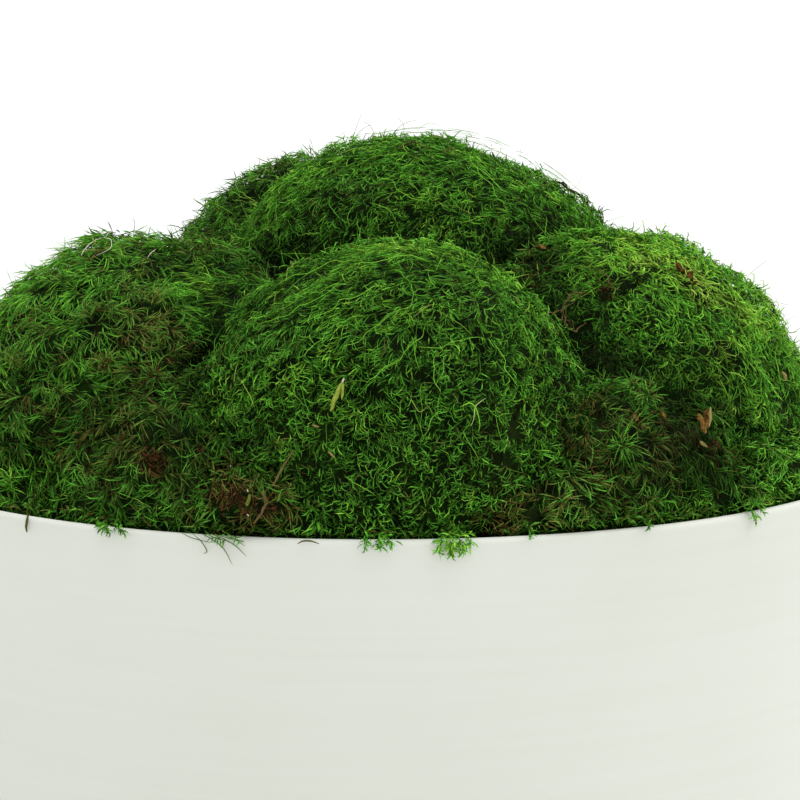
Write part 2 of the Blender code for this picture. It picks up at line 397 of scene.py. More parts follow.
# %% [markdown]
# ## Glaze and foam
# The bowl is off-white and between matt and gloss, never quite even. Noise in several sizes gives
# it clouds, level brush marks and pits, and feeds colour, roughness and bump alike. The foam
# hardly shows, so its CAD mesh is kept and gets pores and a colour.

# %% Bowl finish
GLAZE_TONES = [(0.30, linear(230, 233, 221)), (0.70, linear(236, 239, 229))]
CLOUD_SHARE, PIT_SHARE = 0.65, 0.6
GLAZE_ROUGHNESS, CLOUD_ROUGHNESS = 0.42, 0.16


def bowl_finish():
    """Matt off-white glaze: a faint cloudiness, faint level brush marks and fine pits."""
    glaze = Finish("off_white_glaze", roughness=0.5)
    place = glaze.on_piece()
    cloud = glaze.noise(place, 9.0, 3.0)
    marks = glaze.noise(glaze.stretched(place, (6.0, 6.0, 260.0)), 1.0, 4.0)
    glaze.set("Base Color", glaze.ramp(cloud * CLOUD_SHARE + marks * (1 - CLOUD_SHARE), GLAZE_TONES))
    glaze.set("Roughness", GLAZE_ROUGHNESS + cloud * CLOUD_ROUGHNESS)
    pits = glaze.noise(place, 900.0, 2.0)
    glaze.raise_by(pits * PIT_SHARE + marks, distance=0.4 * MM, strength=0.12)
    return glaze


finish_piece(bowl, bowl_finish(), ["bowl"])
print("bowl dressed")


# %% Foam finish
def foam_finish():
    """Dry floral foam: dark green-brown, dull, with fine pores."""
    foam = Finish("dry_foam", roughness=0.95)
    pores = foam.node("ShaderNodeTexVoronoi", {}, {"Vector": foam.on_piece(), "Scale": 700.0})
    foam.set("Base Color", foam.mix(pores, paint((30, 38, 20)), paint((52, 60, 34))))
    foam.raise_by(pores, distance=0.5 * MM)
    return foam


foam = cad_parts["floral_foam"]
foam.data.materials.clear()
foam.data.materials.append(foam_finish().material)
print("foam dressed")

# %% [markdown]
# ## The mounds
# Each mound is a ball that its neighbours, the foam and the bowl's wall press flat, as soap
# bubbles press each other. Its open side is where moss grows.

# %% Mounds
FOAM_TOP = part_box("floral_foam")[1].z
GAP = 0.3 * MM
INNER_RADIUS = RIM_RADIUS - WALL - FLARE / 2
FOOT_SPREAD = 12 * MM
FOOT_HEIGHT = 28 * MM
COVER = 3.5 * MM
RIM_MOUND_DROP = 8
BIG_MOUND = 60 * MM
OPEN_SLACK = 1.5 * MM
# Creases: painted shade, and where a tuft meets a mound a raised fillet with some painted shade of its
# own.
CREASE_REACH, CREASE_PAINTED_SHADE = 21 * MM, 0.80
FILLET_REACH, FILLET, FILLET_PAINTED_SHADE = 17 * MM, 7 * MM, 0.22
Mound = namedtuple("Mound", "name nodes centre radius kind")
MOUND_ROWS = [
    # name, place in mm from the rim's centre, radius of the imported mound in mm, kind
    ("mound_centre", (19, 20, 36), 86, "short"),
    ("mound_front", (6, -120, 20), 72, "short"),
    ("mound_left", (-86, -45, 0), 85, "feathery"),
    ("mound_right", (87, -45, 0), 87, "curly"),
    ("mound_back_left", (-15, 96, 30), 77, "feathery"),
    ("mound_back_right", (84, 76, -6), 84, "short"),
    ("tuft_front_left", (-68, -128, -8), 49, "feathery"),
    ("tuft_front_right", (86, -126, -2), 47, "feathery"),
    ("tuft_left", (-128, 62, -5), 56, "feathery"),
    ("tuft_right", (151, 34, -8), 44, "feathery"),
    ("tuft_back", (30, 150, -8), 46, "feathery"),
]
RIM_ROWS = [
    # name, angle round the rim in degrees, how far in from it and radius in mm, kind
    ("rim_back_right", 62, 19, 26, "feathery"),
    ("rim_back", 104, 21, 28, "feathery"),
    ("rim_back_left", 129, 33, 36, "feathery"),
    ("rim_left", 180, 29, 34, "feathery"),
    ("rim_left_front", 216, 22, 33, "feathery"),
    ("rim_front_left", 257, 23, 26, "feathery"),
    ("rim_front_right", 290, 23, 26, "feathery"),
    ("rim_right_front", 322, 20, 25, "curly"),
    ("rim_right", 352, 26, 29, "curly"),
]


def mound(name, place, radius, kind):
    """A row of the table in metres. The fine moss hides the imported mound's tips, so its ball is
    larger by the cover."""
    x, y, h = place
    centre = np.array((x * MM, y * MM, HEIGHT + h * MM))
    return Mound(name, [f"moss_{name}"], centre, radius * MM + COVER, kind)


def beside_rim(angle, inset):
    """A place at an angle round the rim, set in from it and a little lower."""
    reach, turn = RIM_RADIUS / MM - inset, math.radians(angle)
    return reach * math.cos(turn), reach * math.sin(turn), -RIM_MOUND_DROP


MOUNDS = [mound(*row) for row in MOUND_ROWS]
MOUNDS += [mound(name, beside_rim(angle, inset), *rest) for name, angle, inset, *rest in RIM_ROWS]
MAIN_MOUNDS = MOUNDS[:6]


def plane_reach(ball, directions):
    """How far each direction may run from the ball's centre: to the foam's top, or to the plane
    in which the ball crosses a neighbour."""
    down = np.maximum(-directions[:, 2], 1e-9)
    reach = (ball.centre[2] - FOAM_TOP - GAP) / down
    for other in MOUNDS:
        if other.name != ball.name:
            reach = np.minimum(reach, crossing_reach(ball, other, directions))
    return reach


def crossing_reach(ball, other, directions):
    """How far each direction may run to the plane in which two balls cross. The plane lies at
    half their distance plus (the difference of their squared radii) / (twice the distance)."""
    between = other.centre - ball.centre
    apart = np.linalg.norm(between)
    crossing = apart / 2 + (ball.radius**2 - other.radius**2) / (2 * apart)
    return crossing / np.maximum(directions @ between / apart, 1e-9)


def wall_reach(ball, directions):
    """How far each direction may run to the inside of the bowl, taken as an upright cylinder."""
    cx, cy = ball.centre[:2]
    dx, dy = directions[:, 0], directions[:, 1]
    a = np.maximum(dx * dx + dy * dy, 1e-9)
    b = cx * dx + cy * dy
    c = cx * cx + cy * cy - (INNER_RADIUS - GAP) ** 2
    return (-b + np.sqrt(b * b - a * c)) / a


def open_radius(ball, directions):
    """The ball's radius, with its foot spread near the foam by the square of how deep a direction
    ends inside the foot's height."""
    ends = ball.centre[2] + ball.radius * directions[:, 2] - FOAM_TOP
    inside = np.clip(1 - ends / FOOT_HEIGHT, 0, 1)
    return ball.radius + FOOT_SPREAD * inside**2


def surface(ball, directions):
    """The distance to the mound's surface, and where that surface is open. A direction is open
    when it ends on the ball itself, or on the wall's line above the rim."""
    ball_end = open_radius(ball, directions)
    plane, wall = plane_reach(ball, directions), wall_reach(ball, directions)
    distance = np.minimum(ball_end, np.minimum(plane, wall))
    above = ball.centre[2] + distance * directions[:, 2] > HEIGHT - MM
    is_open = (ball_end < plane + OPEN_SLACK) & ((ball_end <= wall) | above)
    return distance, is_open


def creases(ball, directions):
    """What the creases do. Where a mound meets another mound, the moss gets painted shade. Where it
    meets a tuft, both are raised, so that the tuft fills the crease like a fillet with a little painted
    shade."""
    end = open_radius(ball, directions)
    shade, raised = np.ones(len(directions)), np.zeros(len(directions))
    for other in MOUNDS:
        if other.name == ball.name:
            continue
        gap = np.maximum(crossing_reach(ball, other, directions) - end, 0)
        if min(ball.radius, other.radius) > BIG_MOUND:
            close = np.clip(1 - gap / CREASE_REACH, 0, 1)
            shade *= 1 - CREASE_PAINTED_SHADE * close**2 * (3 - 2 * close)
        else:
            close = np.clip(1 - gap / FILLET_REACH, 0, 1)
            raised = np.maximum(raised, FILLET * close**2)
            shade *= 1 - FILLET_PAINTED_SHADE * close**2
    return raised, shade


print(f"{len(MOUNDS)} mounds on foam whose top is {FOAM_TOP / MM:.1f} mm high")

# %% [markdown]
# ## Noise and even spreading
# Two tools carry all the irregularity of the moss. A sum of waves in random directions is a smooth
# random field. The golden angle spreads points evenly over a ball.

# %% Fields
WAVE_SPREAD = (0.7, 1.5)
GOLDEN_SHARE = 3 - math.sqrt(5)
GOLDEN = math.pi * GOLDEN_SHARE
UP = np.array((0.0, 0.0, 1.0))


def waves(points, length, seed, count=14):
    """A smooth random field of about -1 to 1: a sum of sine waves in random directions, with
    wavelengths near the given length."""
    rng = np.random.default_rng(seed)
    ways = rng.normal(size=(count, 3))
    ways /= np.linalg.norm(ways, axis=1, keepdims=True)
    ways *= 2 * math.pi / (length * rng.uniform(*WAVE_SPREAD, (count, 1)))
    phase = rng.uniform(0, 2 * math.pi, count)
    return np.sin(points @ ways.T + phase).sum(1) / math.sqrt(count)


def waving_vectors(points, length, seed):
    """Three such fields as a vector for each point."""
    return np.stack([waves(points, length, seed + k) for k in range(3)], 1)


def even_directions(count, rng, jitter):
    """Directions on the golden-angle spiral, turned at random and moved by a share of their
    distance from each other."""
    i = np.arange(count) + 0.5
    z = 1 - 2 * i / count
    turn = i * math.pi * GOLDEN_SHARE
    flat = np.sqrt(1 - z * z)
    points = np.stack([flat * np.cos(turn), flat * np.sin(turn), z], 1)
    tilt = Matrix.Rotation(rng.uniform(0, math.pi), 3, Vector(rng.normal(size=3)))
    points = points @ np.array(tilt).T
    points += rng.normal(size=points.shape) * jitter * math.sqrt(4 * math.pi / count)
    return points / np.linalg.norm(points, axis=1, keepdims=True)


def unit(v):
    """Vectors at length one."""
    return v / np.maximum(np.linalg.norm(v, axis=-1, keepdims=True), 1e-12)


def across(v, normal):
    """The part of each vector that lies across the normal."""
    return v - normal * (v * normal).sum(-1, keepdims=True)


def round_axis(axis, first, second, turn, spread):
    """Directions at an angle from an axis: cos(spread) of the axis plus sin(spread) of (cos(turn)
    of the first way across it plus sin(turn) of the second)."""
    radial = np.cos(turn)[:, None] * first + np.sin(turn)[:, None] * second
    return unit(np.cos(spread)[:, None] * axis + np.sin(spread)[:, None] * radial)


print("fields ready")

# %% [markdown]
# ## Leaves
# A moss leaf is a thin blade, widest near its foot, drawn out to a point and curled. A short or
# straight one is a closed sliver bent along an arc: one sheet of triangles runs along the curl
# outside, and a second one closes it with longer chords inside. A curled one is a closed tube with
# three sides. All the leaves of a mound are computed as arrays.

# %% Leaf maths
def leaf_points(root, way, bend_way, length, width, bend, shape):
    """Points of every leaf: its root, a ring of points round each stop, and its tip. The midline
    is an arc of the given angle. At a share s of the way it lies at the root plus length / angle
    times (sin(angle s) along the leaf plus (1 - cos(angle s)) towards the bend)."""
    side = np.cross(bend_way, way)
    rows = [root]
    for share, wide in zip((*shape.stops, 1.0), (*shape.widths, 0.0)):
        turn = (bend * share)[:, None]
        arc = np.sin(turn) * way + (1 - np.cos(turn)) * bend_way
        middle = root + (length / bend)[:, None] * arc
        inward = np.cos(turn) * bend_way - np.sin(turn) * way
        half = (width * wide / 2)[:, None]
        rows += [middle + half * (x * side + y * inward) for x, y in shape.ring] if wide else [middle]
    return np.stack(rows, 1)


def tube_triangles(stops, sides):
    """Triangles of a closed tube: a fan at its root, bands from ring to ring, a fan at its tip."""
    rows = []
    for k in range(sides):
        a, b = 1 + k, 1 + (k + 1) % sides
        rows.append((0, b, a))
        for _ in range(stops - 1):
            rows += [(a, b, b + sides), (a, b + sides, a + sides)]
            a, b = a + sides, b + sides
        rows.append((a, b, 1 + stops * sides))
    return tuple(rows)


# A shape has stops between root and tip as shares of the way, with the share of the leaf's width
# and of its light at each, the ring of points round a stop, and its triangles.
Shape = namedtuple("Shape", "stops widths lights ring triangles")
FLAT_RING = ((1.0, 0.0), (-1.0, 0.0))
ROUND_RING = ((-0.9, -0.5), (0.9, -0.5), (0.0, 1.0))
BLADE = Shape((0.45,), (1.0,), (0.78,), FLAT_RING, ((0, 1, 2), (1, 3, 2), (0, 3, 1), (0, 2, 3)))
LONG_BLADE = Shape(
    (0.28, 0.66), (1.0, 0.80), (0.68, 0.92), FLAT_RING,
    ((0, 1, 2), (1, 3, 2), (2, 3, 4), (3, 5, 4), (0, 4, 1), (0, 2, 4), (1, 5, 3), (1, 4, 5)),
)
THREAD = Shape((0.30, 0.68), (1.0, 0.85), (0.68, 0.92), ROUND_RING, tube_triangles(2, 3))
# Painted shade: the foot of every leaf, and its stops, are painted darker than its tip.
FOOT_LIGHT = 0.28
TONE_WIDTH, TONE_RISE = 0.006, 0.09
LIGHT_LIMITS, CHART_LIMITS = (0.1, 0.99), (0.02, 0.97)
LIP_CLEARANCE = 0.4 * MM


def clear_of_wall(points):
    """Which leaves keep clear of the bowl: no point beyond its inside below the lip's top."""
    out = np.hypot(points[:, :, 0], points[:, :, 1]) > INNER_RADIUS
    low = points[:, :, 2] < HEIGHT + LIP_CLEARANCE
    return ~(out & low).any(1)


def on_chart(points, shape, tone, light, rise=0.0, foot_light=FOOT_LIGHT):
    """Leaves as one list of points, with their triangles and places on the moss chart. Across it
    a leaf lies at its tone, which may rise from foot to tip. Up it lies at its light, which is
    weakest at the foot."""
    around = len(shape.ring)
    share = np.concatenate([[0.0], np.repeat(shape.stops, around), [1.0]])
    up = np.concatenate([[foot_light], np.repeat(shape.lights, around), [1.0]])
    sides = np.tile([-x for x, y in shape.ring], len(shape.stops))
    aside = np.concatenate([[0.0], sides, [0.0]]) * TONE_WIDTH
    along = (tone[:, None] + rise * (share - 0.5)).clip(*CHART_LIMITS)
    places = np.stack([along + aside, light[:, None] * up], 2)
    triangles = repeated(shape.triangles, *points.shape[:2])
    return points.reshape(-1, 3), triangles, places.reshape(-1, 2)


def leaf_cloud(shape, root, way, bend_way, length, width, bend, tone, light, rise=TONE_RISE):
    """Leaves as points, triangles and map places, without those that would cut the bowl."""
    points = leaf_points(root, way, bend_way, length, width, bend, shape)
    clear = clear_of_wall(points)
    return on_chart(points[clear], shape, tone[clear], light[clear].clip(*LIGHT_LIMITS), rise)


print(", ".join(str(len(shape.triangles)) for shape in (BLADE, LONG_BLADE, THREAD)), "triangles")

# %% [markdown]
# ## Places that the photograph shows
# A few features have their own places: how the moss is combed, brown patches, patches of painted
# shade and painted light, stars and loose strands. Each is noted by its pixel, and a ray from the
# camera finds the mound under it.

# %% Rays
VIEW_FORWARD = np.array((0, math.cos(CAMERA_ELEVATION), -math.sin(CAMERA_ELEVATION)))
VIEW_UP = np.array((0, math.sin(CAMERA_ELEVATION), math.cos(CAMERA_ELEVATION)))
VIEW_RIGHT = np.array((1.0, 0.0, 0.0))
EYE = np.array(camera.location)
CENTRES = np.array([ball.centre for ball in MOUNDS])
RADII = np.array([ball.radius for ball in MOUNDS])
FAR = 100.0


def rays(pixels):
    """Unit directions from the camera through pixels."""
    pixels = np.asarray(pixels, float)
    right = (pixels[:, :1] - RIM_CENTRE_PIXEL[0]) / FOCAL_PIXELS
    up = (RIM_CENTRE_PIXEL[1] - pixels[:, 1:2]) / FOCAL_PIXELS
    return unit(VIEW_FORWARD + right * VIEW_RIGHT + up * VIEW_UP)


def on_heap(pixels, lift=0.0):
    """The nearest point where each ray meets a mound, or a ball larger than it by the lift, with
    the outward direction there. A ray meets a ball where t squared + 2 b t + c = 0. A ray that
    passes above the heap gets the point of the heap that is nearest to it."""
    ways = rays(pixels)
    from_centre = EYE - CENTRES
    radii = RADII + np.broadcast_to(lift, (len(ways), 1))
    b = ways @ from_centre.T
    c = (from_centre**2).sum(1) - radii**2
    inside = b * b - c
    t = np.where(inside > 0, -b - np.sqrt(np.maximum(inside, 0)), FAR - inside)
    hit = np.argmin(t, 1)
    row = np.arange(len(ways))
    near_t = np.where(t[row, hit] < FAR, t[row, hit], -b[row, hit])
    normals = unit(EYE + ways * near_t[:, None] - CENTRES[hit])
    return CENTRES[hit] + normals * radii[row, hit][:, None], normals


def on_rim(pixels, lift):
    """Points by the bowl's lip: on a level a little above it, and outside it on an upright
    cylinder a little wider than the bowl."""
    ways = rays(pixels)
    t = (HEIGHT + lift - EYE[2]) / ways[:, 2]
    above = EYE + ways * t[:, None]
    a = (ways[:, :2] ** 2).sum(1)
    b = ways[:, :2] @ EYE[:2]
    c = EYE[:2] @ EYE[:2] - (RIM_RADIUS + lift) ** 2
    beside = EYE + ways * ((-b - np.sqrt(np.maximum(b * b - a * c, 0))) / a)[:, None]
    outside = np.hypot(above[:, 0], above[:, 1]) > RIM_RADIUS + lift
    return np.where(outside[:, None], beside, above)


print("rays ready")

# %% Combing and patches
STROKES = [
    # pixel, which way the tips point (to the right, down), how flat the moss is combed
    (250, 300, -0.85, 0.5, 0.9), (320, 270, -0.9, 0.4, 1), (300, 340, -0.8, 0.55, 0.7),
    (370, 300, -0.85, 0.45, 0.8), (360, 360, -0.75, 0.65, 0.3), (400, 262, -0.95, 0.2, 0.9),
    (470, 275, -0.9, -0.3, 0.7), (520, 330, 0.5, 0.85, 0.1), (560, 390, 0.2, 1, 0.1),
    (450, 360, -0.25, 1, 0), (440, 440, -0.3, 1, 0), (240, 400, -0.3, 1, 0.3), (250, 222, -0.85, 0.5, 0.9),
    (300, 182, -0.9, 0.45, 0.9), (340, 210, -0.6, 0.75, 0.6), (400, 152, -0.95, 0.2, 0.8),
    (445, 150, -0.95, -0.15, 0.7), (490, 172, -0.8, -0.5, 0.7), (540, 205, -0.7, -0.65, 0.6),
    (590, 235, -0.65, -0.7, 0.6), (450, 220, -0.3, 0.95, 0.2), (30, 275, -0.9, 0.3, 0.8),
    (60, 330, 0.5, 0.8, 0.2), (150, 300, 0.6, 0.7, 0.4), (190, 330, -0.2, -0.8, 0),
    (60, 430, 0.4, 0.9, 0.1), (20, 380, -0.6, 0.7, 0.4), (100, 250, -0.8, 0.1, 0.9),
    (640, 250, 0.6, 0.5, 0.6), (590, 265, -0.8, 0.5, 0.4), (700, 290, 0.8, 0.6, 0.7),
    (750, 335, 0.6, 0.8, 0.8), (780, 400, 0.2, 1, 0.8), (640, 320, -0.3, 0.9, 0),
    (700, 440, 0.3, 0.95, 0.2), (740, 480, 0.3, 0.95, 0.5), (200, 232, -0.7, 0.5, 0.7),
    (620, 480, 0.1, 1, 0.2), (60, 490, 0.3, 0.95, 0.4),
]
STROKE_REACH, FLAT_REACH = 20 * MM, 0.9
SWIRL_LENGTH, SWIRL = 45 * MM, 1.4
FREE_PULL, STROKE_PULL = 0.6, 3.0
RAGGED, RAGGED_LENGTH, RAGGED_SEED = 3 * MM, 9 * MM, 70
stroke_points, _ = on_heap([row[:2] for row in STROKES])
stroke_ways = np.array([row[2] * VIEW_RIGHT - row[3] * VIEW_UP for row in STROKES])
stroke_flats = column(STROKES, 4)

PATCHES = [
    # pixel, reach in mm, tone to add, share of light to take as painted shade (below nought, painted
    # light), depth in mm
    (82, 314, 13, -0.06, 0, 1.5), (150, 238, 7, 0.06, 0, 0), (176, 262, 8, -0.1, 0.4, 3),
    (115, 353, 8, -0.03, 0.1, 2), (182, 364, 12, -0.02, 0.22, 2), (153, 457, 4, -0.42, -0.2, 1),
    (211, 471, 4, -0.36, 0, 2.5), (228, 491, 5, -0.42, 0, 2.5), (690, 262, 30, 0.12, -0.26, 0),
    (630, 250, 20, 0.08, -0.16, 0), (612, 287, 6, -0.2, 0.55, 4), (577, 318, 9, -0.14, 0.45, 4),
    (605, 356, 13, -0.04, 0.25, 2), (707, 366, 9, -0.03, 0.5, 3.5), (676, 395, 10, -0.06, 0.55, 5),
    (566, 460, 9, -0.1, 0.05, 0), (497, 520, 7, -0.2, -0.1, 0), (541, 260, 11, -0.24, 0.52, 3),
    (668, 446, 10, -0.04, 0.2, 2), (60, 300, 9, -0.02, -0.12, 1), (100, 440, 9, -0.04, 0.25, 2.5),
    (704, 442, 14, -0.04, 0.52, 3), (244, 197, 7, -0.06, 0.75, 6), (640, 490, 10, -0.04, 0.1, 1),
    (135, 385, 22, -0.13, -0.06, 0), (155, 440, 20, -0.08, -0.02, 0), (225, 480, 14, -0.06, 0, 0),
    (640, 430, 22, -0.09, 0.05, 0), (160, 390, 13, -0.02, 0.22, 0), (226, 262, 12, -0.04, 0.35, 2.5),
    (256, 262, 9, 0, 0.35, 2), (212, 305, 9, -0.02, 0.3, 1.5), (30, 300, 16, 0.04, -0.3, 0),
    (130, 300, 12, -0.04, -0.15, 0), (784, 420, 18, 0.02, -0.16, 0), (745, 345, 16, 0.04, -0.1, 0),
    (778, 490, 12, 0.04, -0.22, 0), (610, 450, 8, 0, -0.18, 0), (700, 300, 7, -0.16, 0.3, 2),
    (510, 152, 20, 0, 0, 3.2), (545, 172, 14, 0, 0, 3.4), (166, 236, 11, 0, 0, 4.4),
    (300, 425, 5, -0.14, 0, 0), (395, 352, 5, -0.08, 0.1, 0), (320, 470, 6, -0.1, 0.1, 1),
    (480, 440, 6, -0.06, 0.1, 1), (430, 490, 7, -0.06, 0.1, 1), (718, 264, 16, 0, -0.04, -4.8),
    (75, 246, 15, 0.02, -0.06, -2.8), (146, 334, 18, 0.06, -0.38, -0.8), (20, 340, 14, 0.02, -0.25, 0),
    (90, 480, 16, 0, -0.14, 0), (20, 490, 12, 0.02, -0.22, 0), (730, 500, 14, 0.02, -0.18, 0),
    (740, 300, 22, 0.03, -0.12, 0.8), (565, 186, 9, 0, 0, -2), (460, 142, 24, 0, 0, 2),
    (4, 294, 14, 0, -0.1, 1.6), (190, 222, 12, 0, 0.1, 0.8), (270, 163, 14, 0, 0, 0.2),
    (580, 420, 12, 0.02, 0, 0.5), (500, 410, 22, 0, 0.1, 0), (700, 425, 12, 0, 0.3, 0),
    (300, 257, 8, 0, 0.35, 1.5), (338, 250, 8, 0, 0.2, 1), (420, 224, 9, 0, 0.22, 0.5),
    (105, 300, 12, -0.12, 0.36, 1), (150, 402, 14, -0.06, 0.22, 0.5), (165, 430, 10, 0.02, 0.25, 0),
    (606, 374, 10, 0, 0.4, 2), (540, 500, 8, -0.06, 0.28, 0.5), (104, 502, 9, -0.06, 0.25, 0.5),
    (385, 500, 10, 0, -0.25, 0), (515, 462, 15, -0.02, -0.32, 0), (300, 340, 12, 0.03, -0.18, 0),
    (180, 336, 10, 0.04, -0.2, 0), (154, 377, 6, -0.04, 0.3, 2.2), (106, 363, 5, -0.04, 0.2, 2),
    (130, 240, 10, 0, 0, -3.8), (226, 187, 9, 0, 0, -6), (598, 218, 9, 0, 0, -3),
    (300, 257, 10, 0, 0.45, 1), (120, 262, 22, 0.02, -0.22, 0), (540, 380, 9, 0, 0.16, 0),
    (285, 284, 8, 0, 0.15, 3), (256, 306, 8, 0, 0.2, 3), (316, 262, 8, 0, 0.12, 2.5),
    (315, 158, 10, 0, 0, -2), (140, 262, 9, 0, -0.28, 0), (140, 342, 9, 0, -0.34, 0),
    (22, 462, 11, 0, 0.32, 0.5), (60, 432, 11, 0, -0.18, 0), (500, 262, 10, 0, -0.3, 0),
    (622, 315, 9, 0, -0.25, -0.5), (700, 350, 8, 0, -0.2, 0), (620, 405, 10, 0, 0.26, 0.3),
    (515, 525, 9, 0, -0.26, 0), (360, 510, 12, 0, -0.32, 0), (140, 420, 9, 0, 0.15, 0),
    (222, 245, 11, 0, 0.16, 0.4), (330, 262, 10, 0, 0.06, 3), (222, 462, 8, 0, 0.16, 0),
    (700, 500, 9, -0.03, 0.14, 0), (330, 150, 10, 0, 0, -2.5), (158, 308, 14, 0.11, -0.06, 0),
    (106, 316, 11, -0.07, 0, 0), (152, 378, 14, -0.06, 0, 0), (318, 260, 9, 0, 0.14, 2.5),
    (545, 298, 10, -0.1, 0.06, 0), (104, 460, 10, -0.05, 0.06, 0), (25, 380, 22, 0.07, -0.04, 0),
    (235, 200, 22, 0.07, 0, 0), (222, 385, 9, 0.02, -0.25, -0.4), (262, 298, 9, 0, 0.3, 0.5),
    (340, 256, 8, 0, 0.2, 0.5), (60, 340, 9, 0, 0.28, 0.5), (318, 262, 12, 0, 0.12, 0),
    (220, 260, 9, 0, 0.18, 0), (260, 300, 9, 0, 0.16, 0), (340, 142, 9, 0, -0.2, 0),
    (140, 340, 9, 0, -0.22, 0), (580, 420, 10, 0, -0.2, 0), (782, 500, 10, 0, -0.22, 0),
    (622, 300, 8, 0, -0.16, 0),
]
patch_points, _ = on_heap([row[:2] for row in PATCHES])


def near(points, places, reach):
    """How close points are to places: exp of minus half the squared distance over the reach."""
    apart = np.linalg.norm(points[:, None] - places[None], axis=2)
    return np.exp(-0.5 * (apart / reach) ** 2)


def comb_at(points, normals, seed):
    """The way the moss is combed: downhill, turned by a slow swirl, and near a stroke along it."""
    downhill = across(np.array((0.0, 0.0, -1.0)) + 0.0 * normals, normals)
    swirl = waves(points, SWIRL_LENGTH, seed + 300)[:, None] * SWIRL
    free = downhill + np.cross(normals, downhill) * swirl
    drawn = near(points, stroke_points, STROKE_REACH) @ stroke_ways
    return unit(across(free * FREE_PULL + drawn * STROKE_PULL, normals))


def flat_at(points):
    """How flat the moss is combed, from 0 to 1."""
    return np.clip(near(points, stroke_points, STROKE_REACH * FLAT_REACH) @ stroke_flats, 0, 1)


def patches_at(points):
    """What the patches do at points: the tone they add, the painted light and shade they leave, the
    depth in m. The points are moved a little by waves first, so that a patch has a ragged edge."""
    table = np.array(PATCHES)
    moved = points + RAGGED * waving_vectors(points, RAGGED_LENGTH, RAGGED_SEED)
    close = near(moved, patch_points, table[:, 2] * MM)
    light = np.prod(1 - close * table[:, 4], axis=1)
    return close @ table[:, 3], light, close @ table[:, 5] * MM


print(f"{len(STROKES)} strokes of the comb, {len(PATCHES)} patches")

# %% [markdown]
# ## Kinds of moss
# The mounds wear three kinds. Short moss is a pile of small curled shoots. Curly moss is the same,
# fluffier. Feathery moss has long narrow leaves that fan out of each shoot and fall to one side.

# %% Kinds
# A layer has leaves of one shape: how many a shoot bears, then ranges of length and width in mm,
# bend in radians, spread from the axis in radians, rise of the root in mm, and light, which is low
# for the lowest layer, painted in shade.
Layer = namedtuple("Layer", "shape count length width bend spread rise light")
# A kind has the size of a clump, its dome, the lumps of the ground, the distance of the shoots
# and the scatter of the roots in mm, then how much the shoots follow the comb, turn clump by
# clump, droop and curl, and the tone with its spread.
Kind = namedtuple("Kind", "clump dome lump shoot scatter comb swirl down curl tone tone_spread layers")
KINDS = {
    "short": Kind(
        clump=7.0, dome=2.2, lump=1.2, shoot=3.5, scatter=0.8, comb=1.4, swirl=0.8, down=0.4, curl=1.5,
        tone=0.50, tone_spread=0.14,
        layers=(
            Layer(BLADE, 1, (3.8, 5.6), (0.90, 1.40), (0.4, 1.2), 0.90, (-3.6, -2.0), (0.22, 0.42)),
            Layer(THREAD, 4, (4.4, 7.8), (0.38, 0.54), (1.8, 4.0), 0.60, (-1.6, 0.7), (0.48, 1.0)),
            Layer(BLADE, 2, (2.6, 4.4), (0.34, 0.48), (0.5, 1.4), 0.95, (-0.8, 0.8), (0.56, 1.0)),
        ),
    ),
    "curly": Kind(
        clump=8.5, dome=2.6, lump=1.6, shoot=3.6, scatter=0.8, comb=1.2, swirl=0.8, down=0.4, curl=1.6,
        tone=0.53, tone_spread=0.14,
        layers=(
            Layer(BLADE, 1, (3.8, 5.6), (0.90, 1.40), (0.4, 1.2), 0.90, (-3.6, -2.0), (0.22, 0.42)),
            Layer(THREAD, 4, (4.8, 8.8), (0.40, 0.58), (2.0, 4.2), 0.60, (-1.4, 0.9), (0.50, 1.0)),
            Layer(BLADE, 2, (2.6, 4.6), (0.34, 0.48), (0.5, 1.4), 0.95, (-0.6, 1.0), (0.60, 1.0)),
        ),
    ),
    "feathery": Kind(
        clump=10.0, dome=2.8, lump=2.2, shoot=4.9, scatter=0.9, comb=1.5, swirl=1.1, down=0.6, curl=1.2,
        tone=0.42, tone_spread=0.16,
        layers=(
            Layer(BLADE, 1, (4.0, 6.0), (0.90, 1.40), (0.4, 1.2), 1.00, (-4.4, -2.6), (0.24, 0.44)),
            Layer(THREAD, 5, (6.5, 12.0), (0.38, 0.54), (0.8, 2.6), 0.55, (-1.6, 0.6), (0.46, 1.0)),
            Layer(LONG_BLADE, 2, (5.5, 9.5), (0.28, 0.40), (0.3, 1.0), 0.80, (-0.8, 0.4), (0.55, 1.0)),
            Layer(BLADE, 4, (4.5, 8.0), (0.32, 0.46), (0.3, 0.9), 0.90, (-1.2, 0.2), (0.50, 1.0)),
        ),
    ),
}
print(", ".join(KINDS))

# %% [markdown]
# ## Growing moss
# Real moss leaves grow round shoots, and shoots crowd in small domed clumps. A particle system
# could scatter copies of one leaf, but then all leaves would be alike and couldn't be combed.
# Here every leaf has its own root, way, bend, size and colour, worked out for a whole mound at
# once: first the shoots, then the leaves round them, then a bed, dark with painted shade, that
# closes the gaps.

# %% Shoots
SLOW_WAVE, QUICK_WAVE, QUICK_LUMP = 30 * MM, 13 * MM, 0.7
HEXAGON, SHOOT_JITTER = 0.866, 0.30
BACK_SHARE, BACK_FADE = 0.5, 2.5
BACK_SPARSE, BACK_FROM = 0.12, 70 * MM
CLUMP_SHARE, CLUMP_EDGE, DOME_MIDDLE = 0.55, 1.4, 0.55
FLAT_CHANCE, FLAT_LOOSE, FLAT_DOME, FLAT_PULL = 1.3, 0.7, 0.4, 1.2
OWN_TURN, CLUMP_LEAN, CHANCE_LEAN = 0.25, 0.5, 0.3
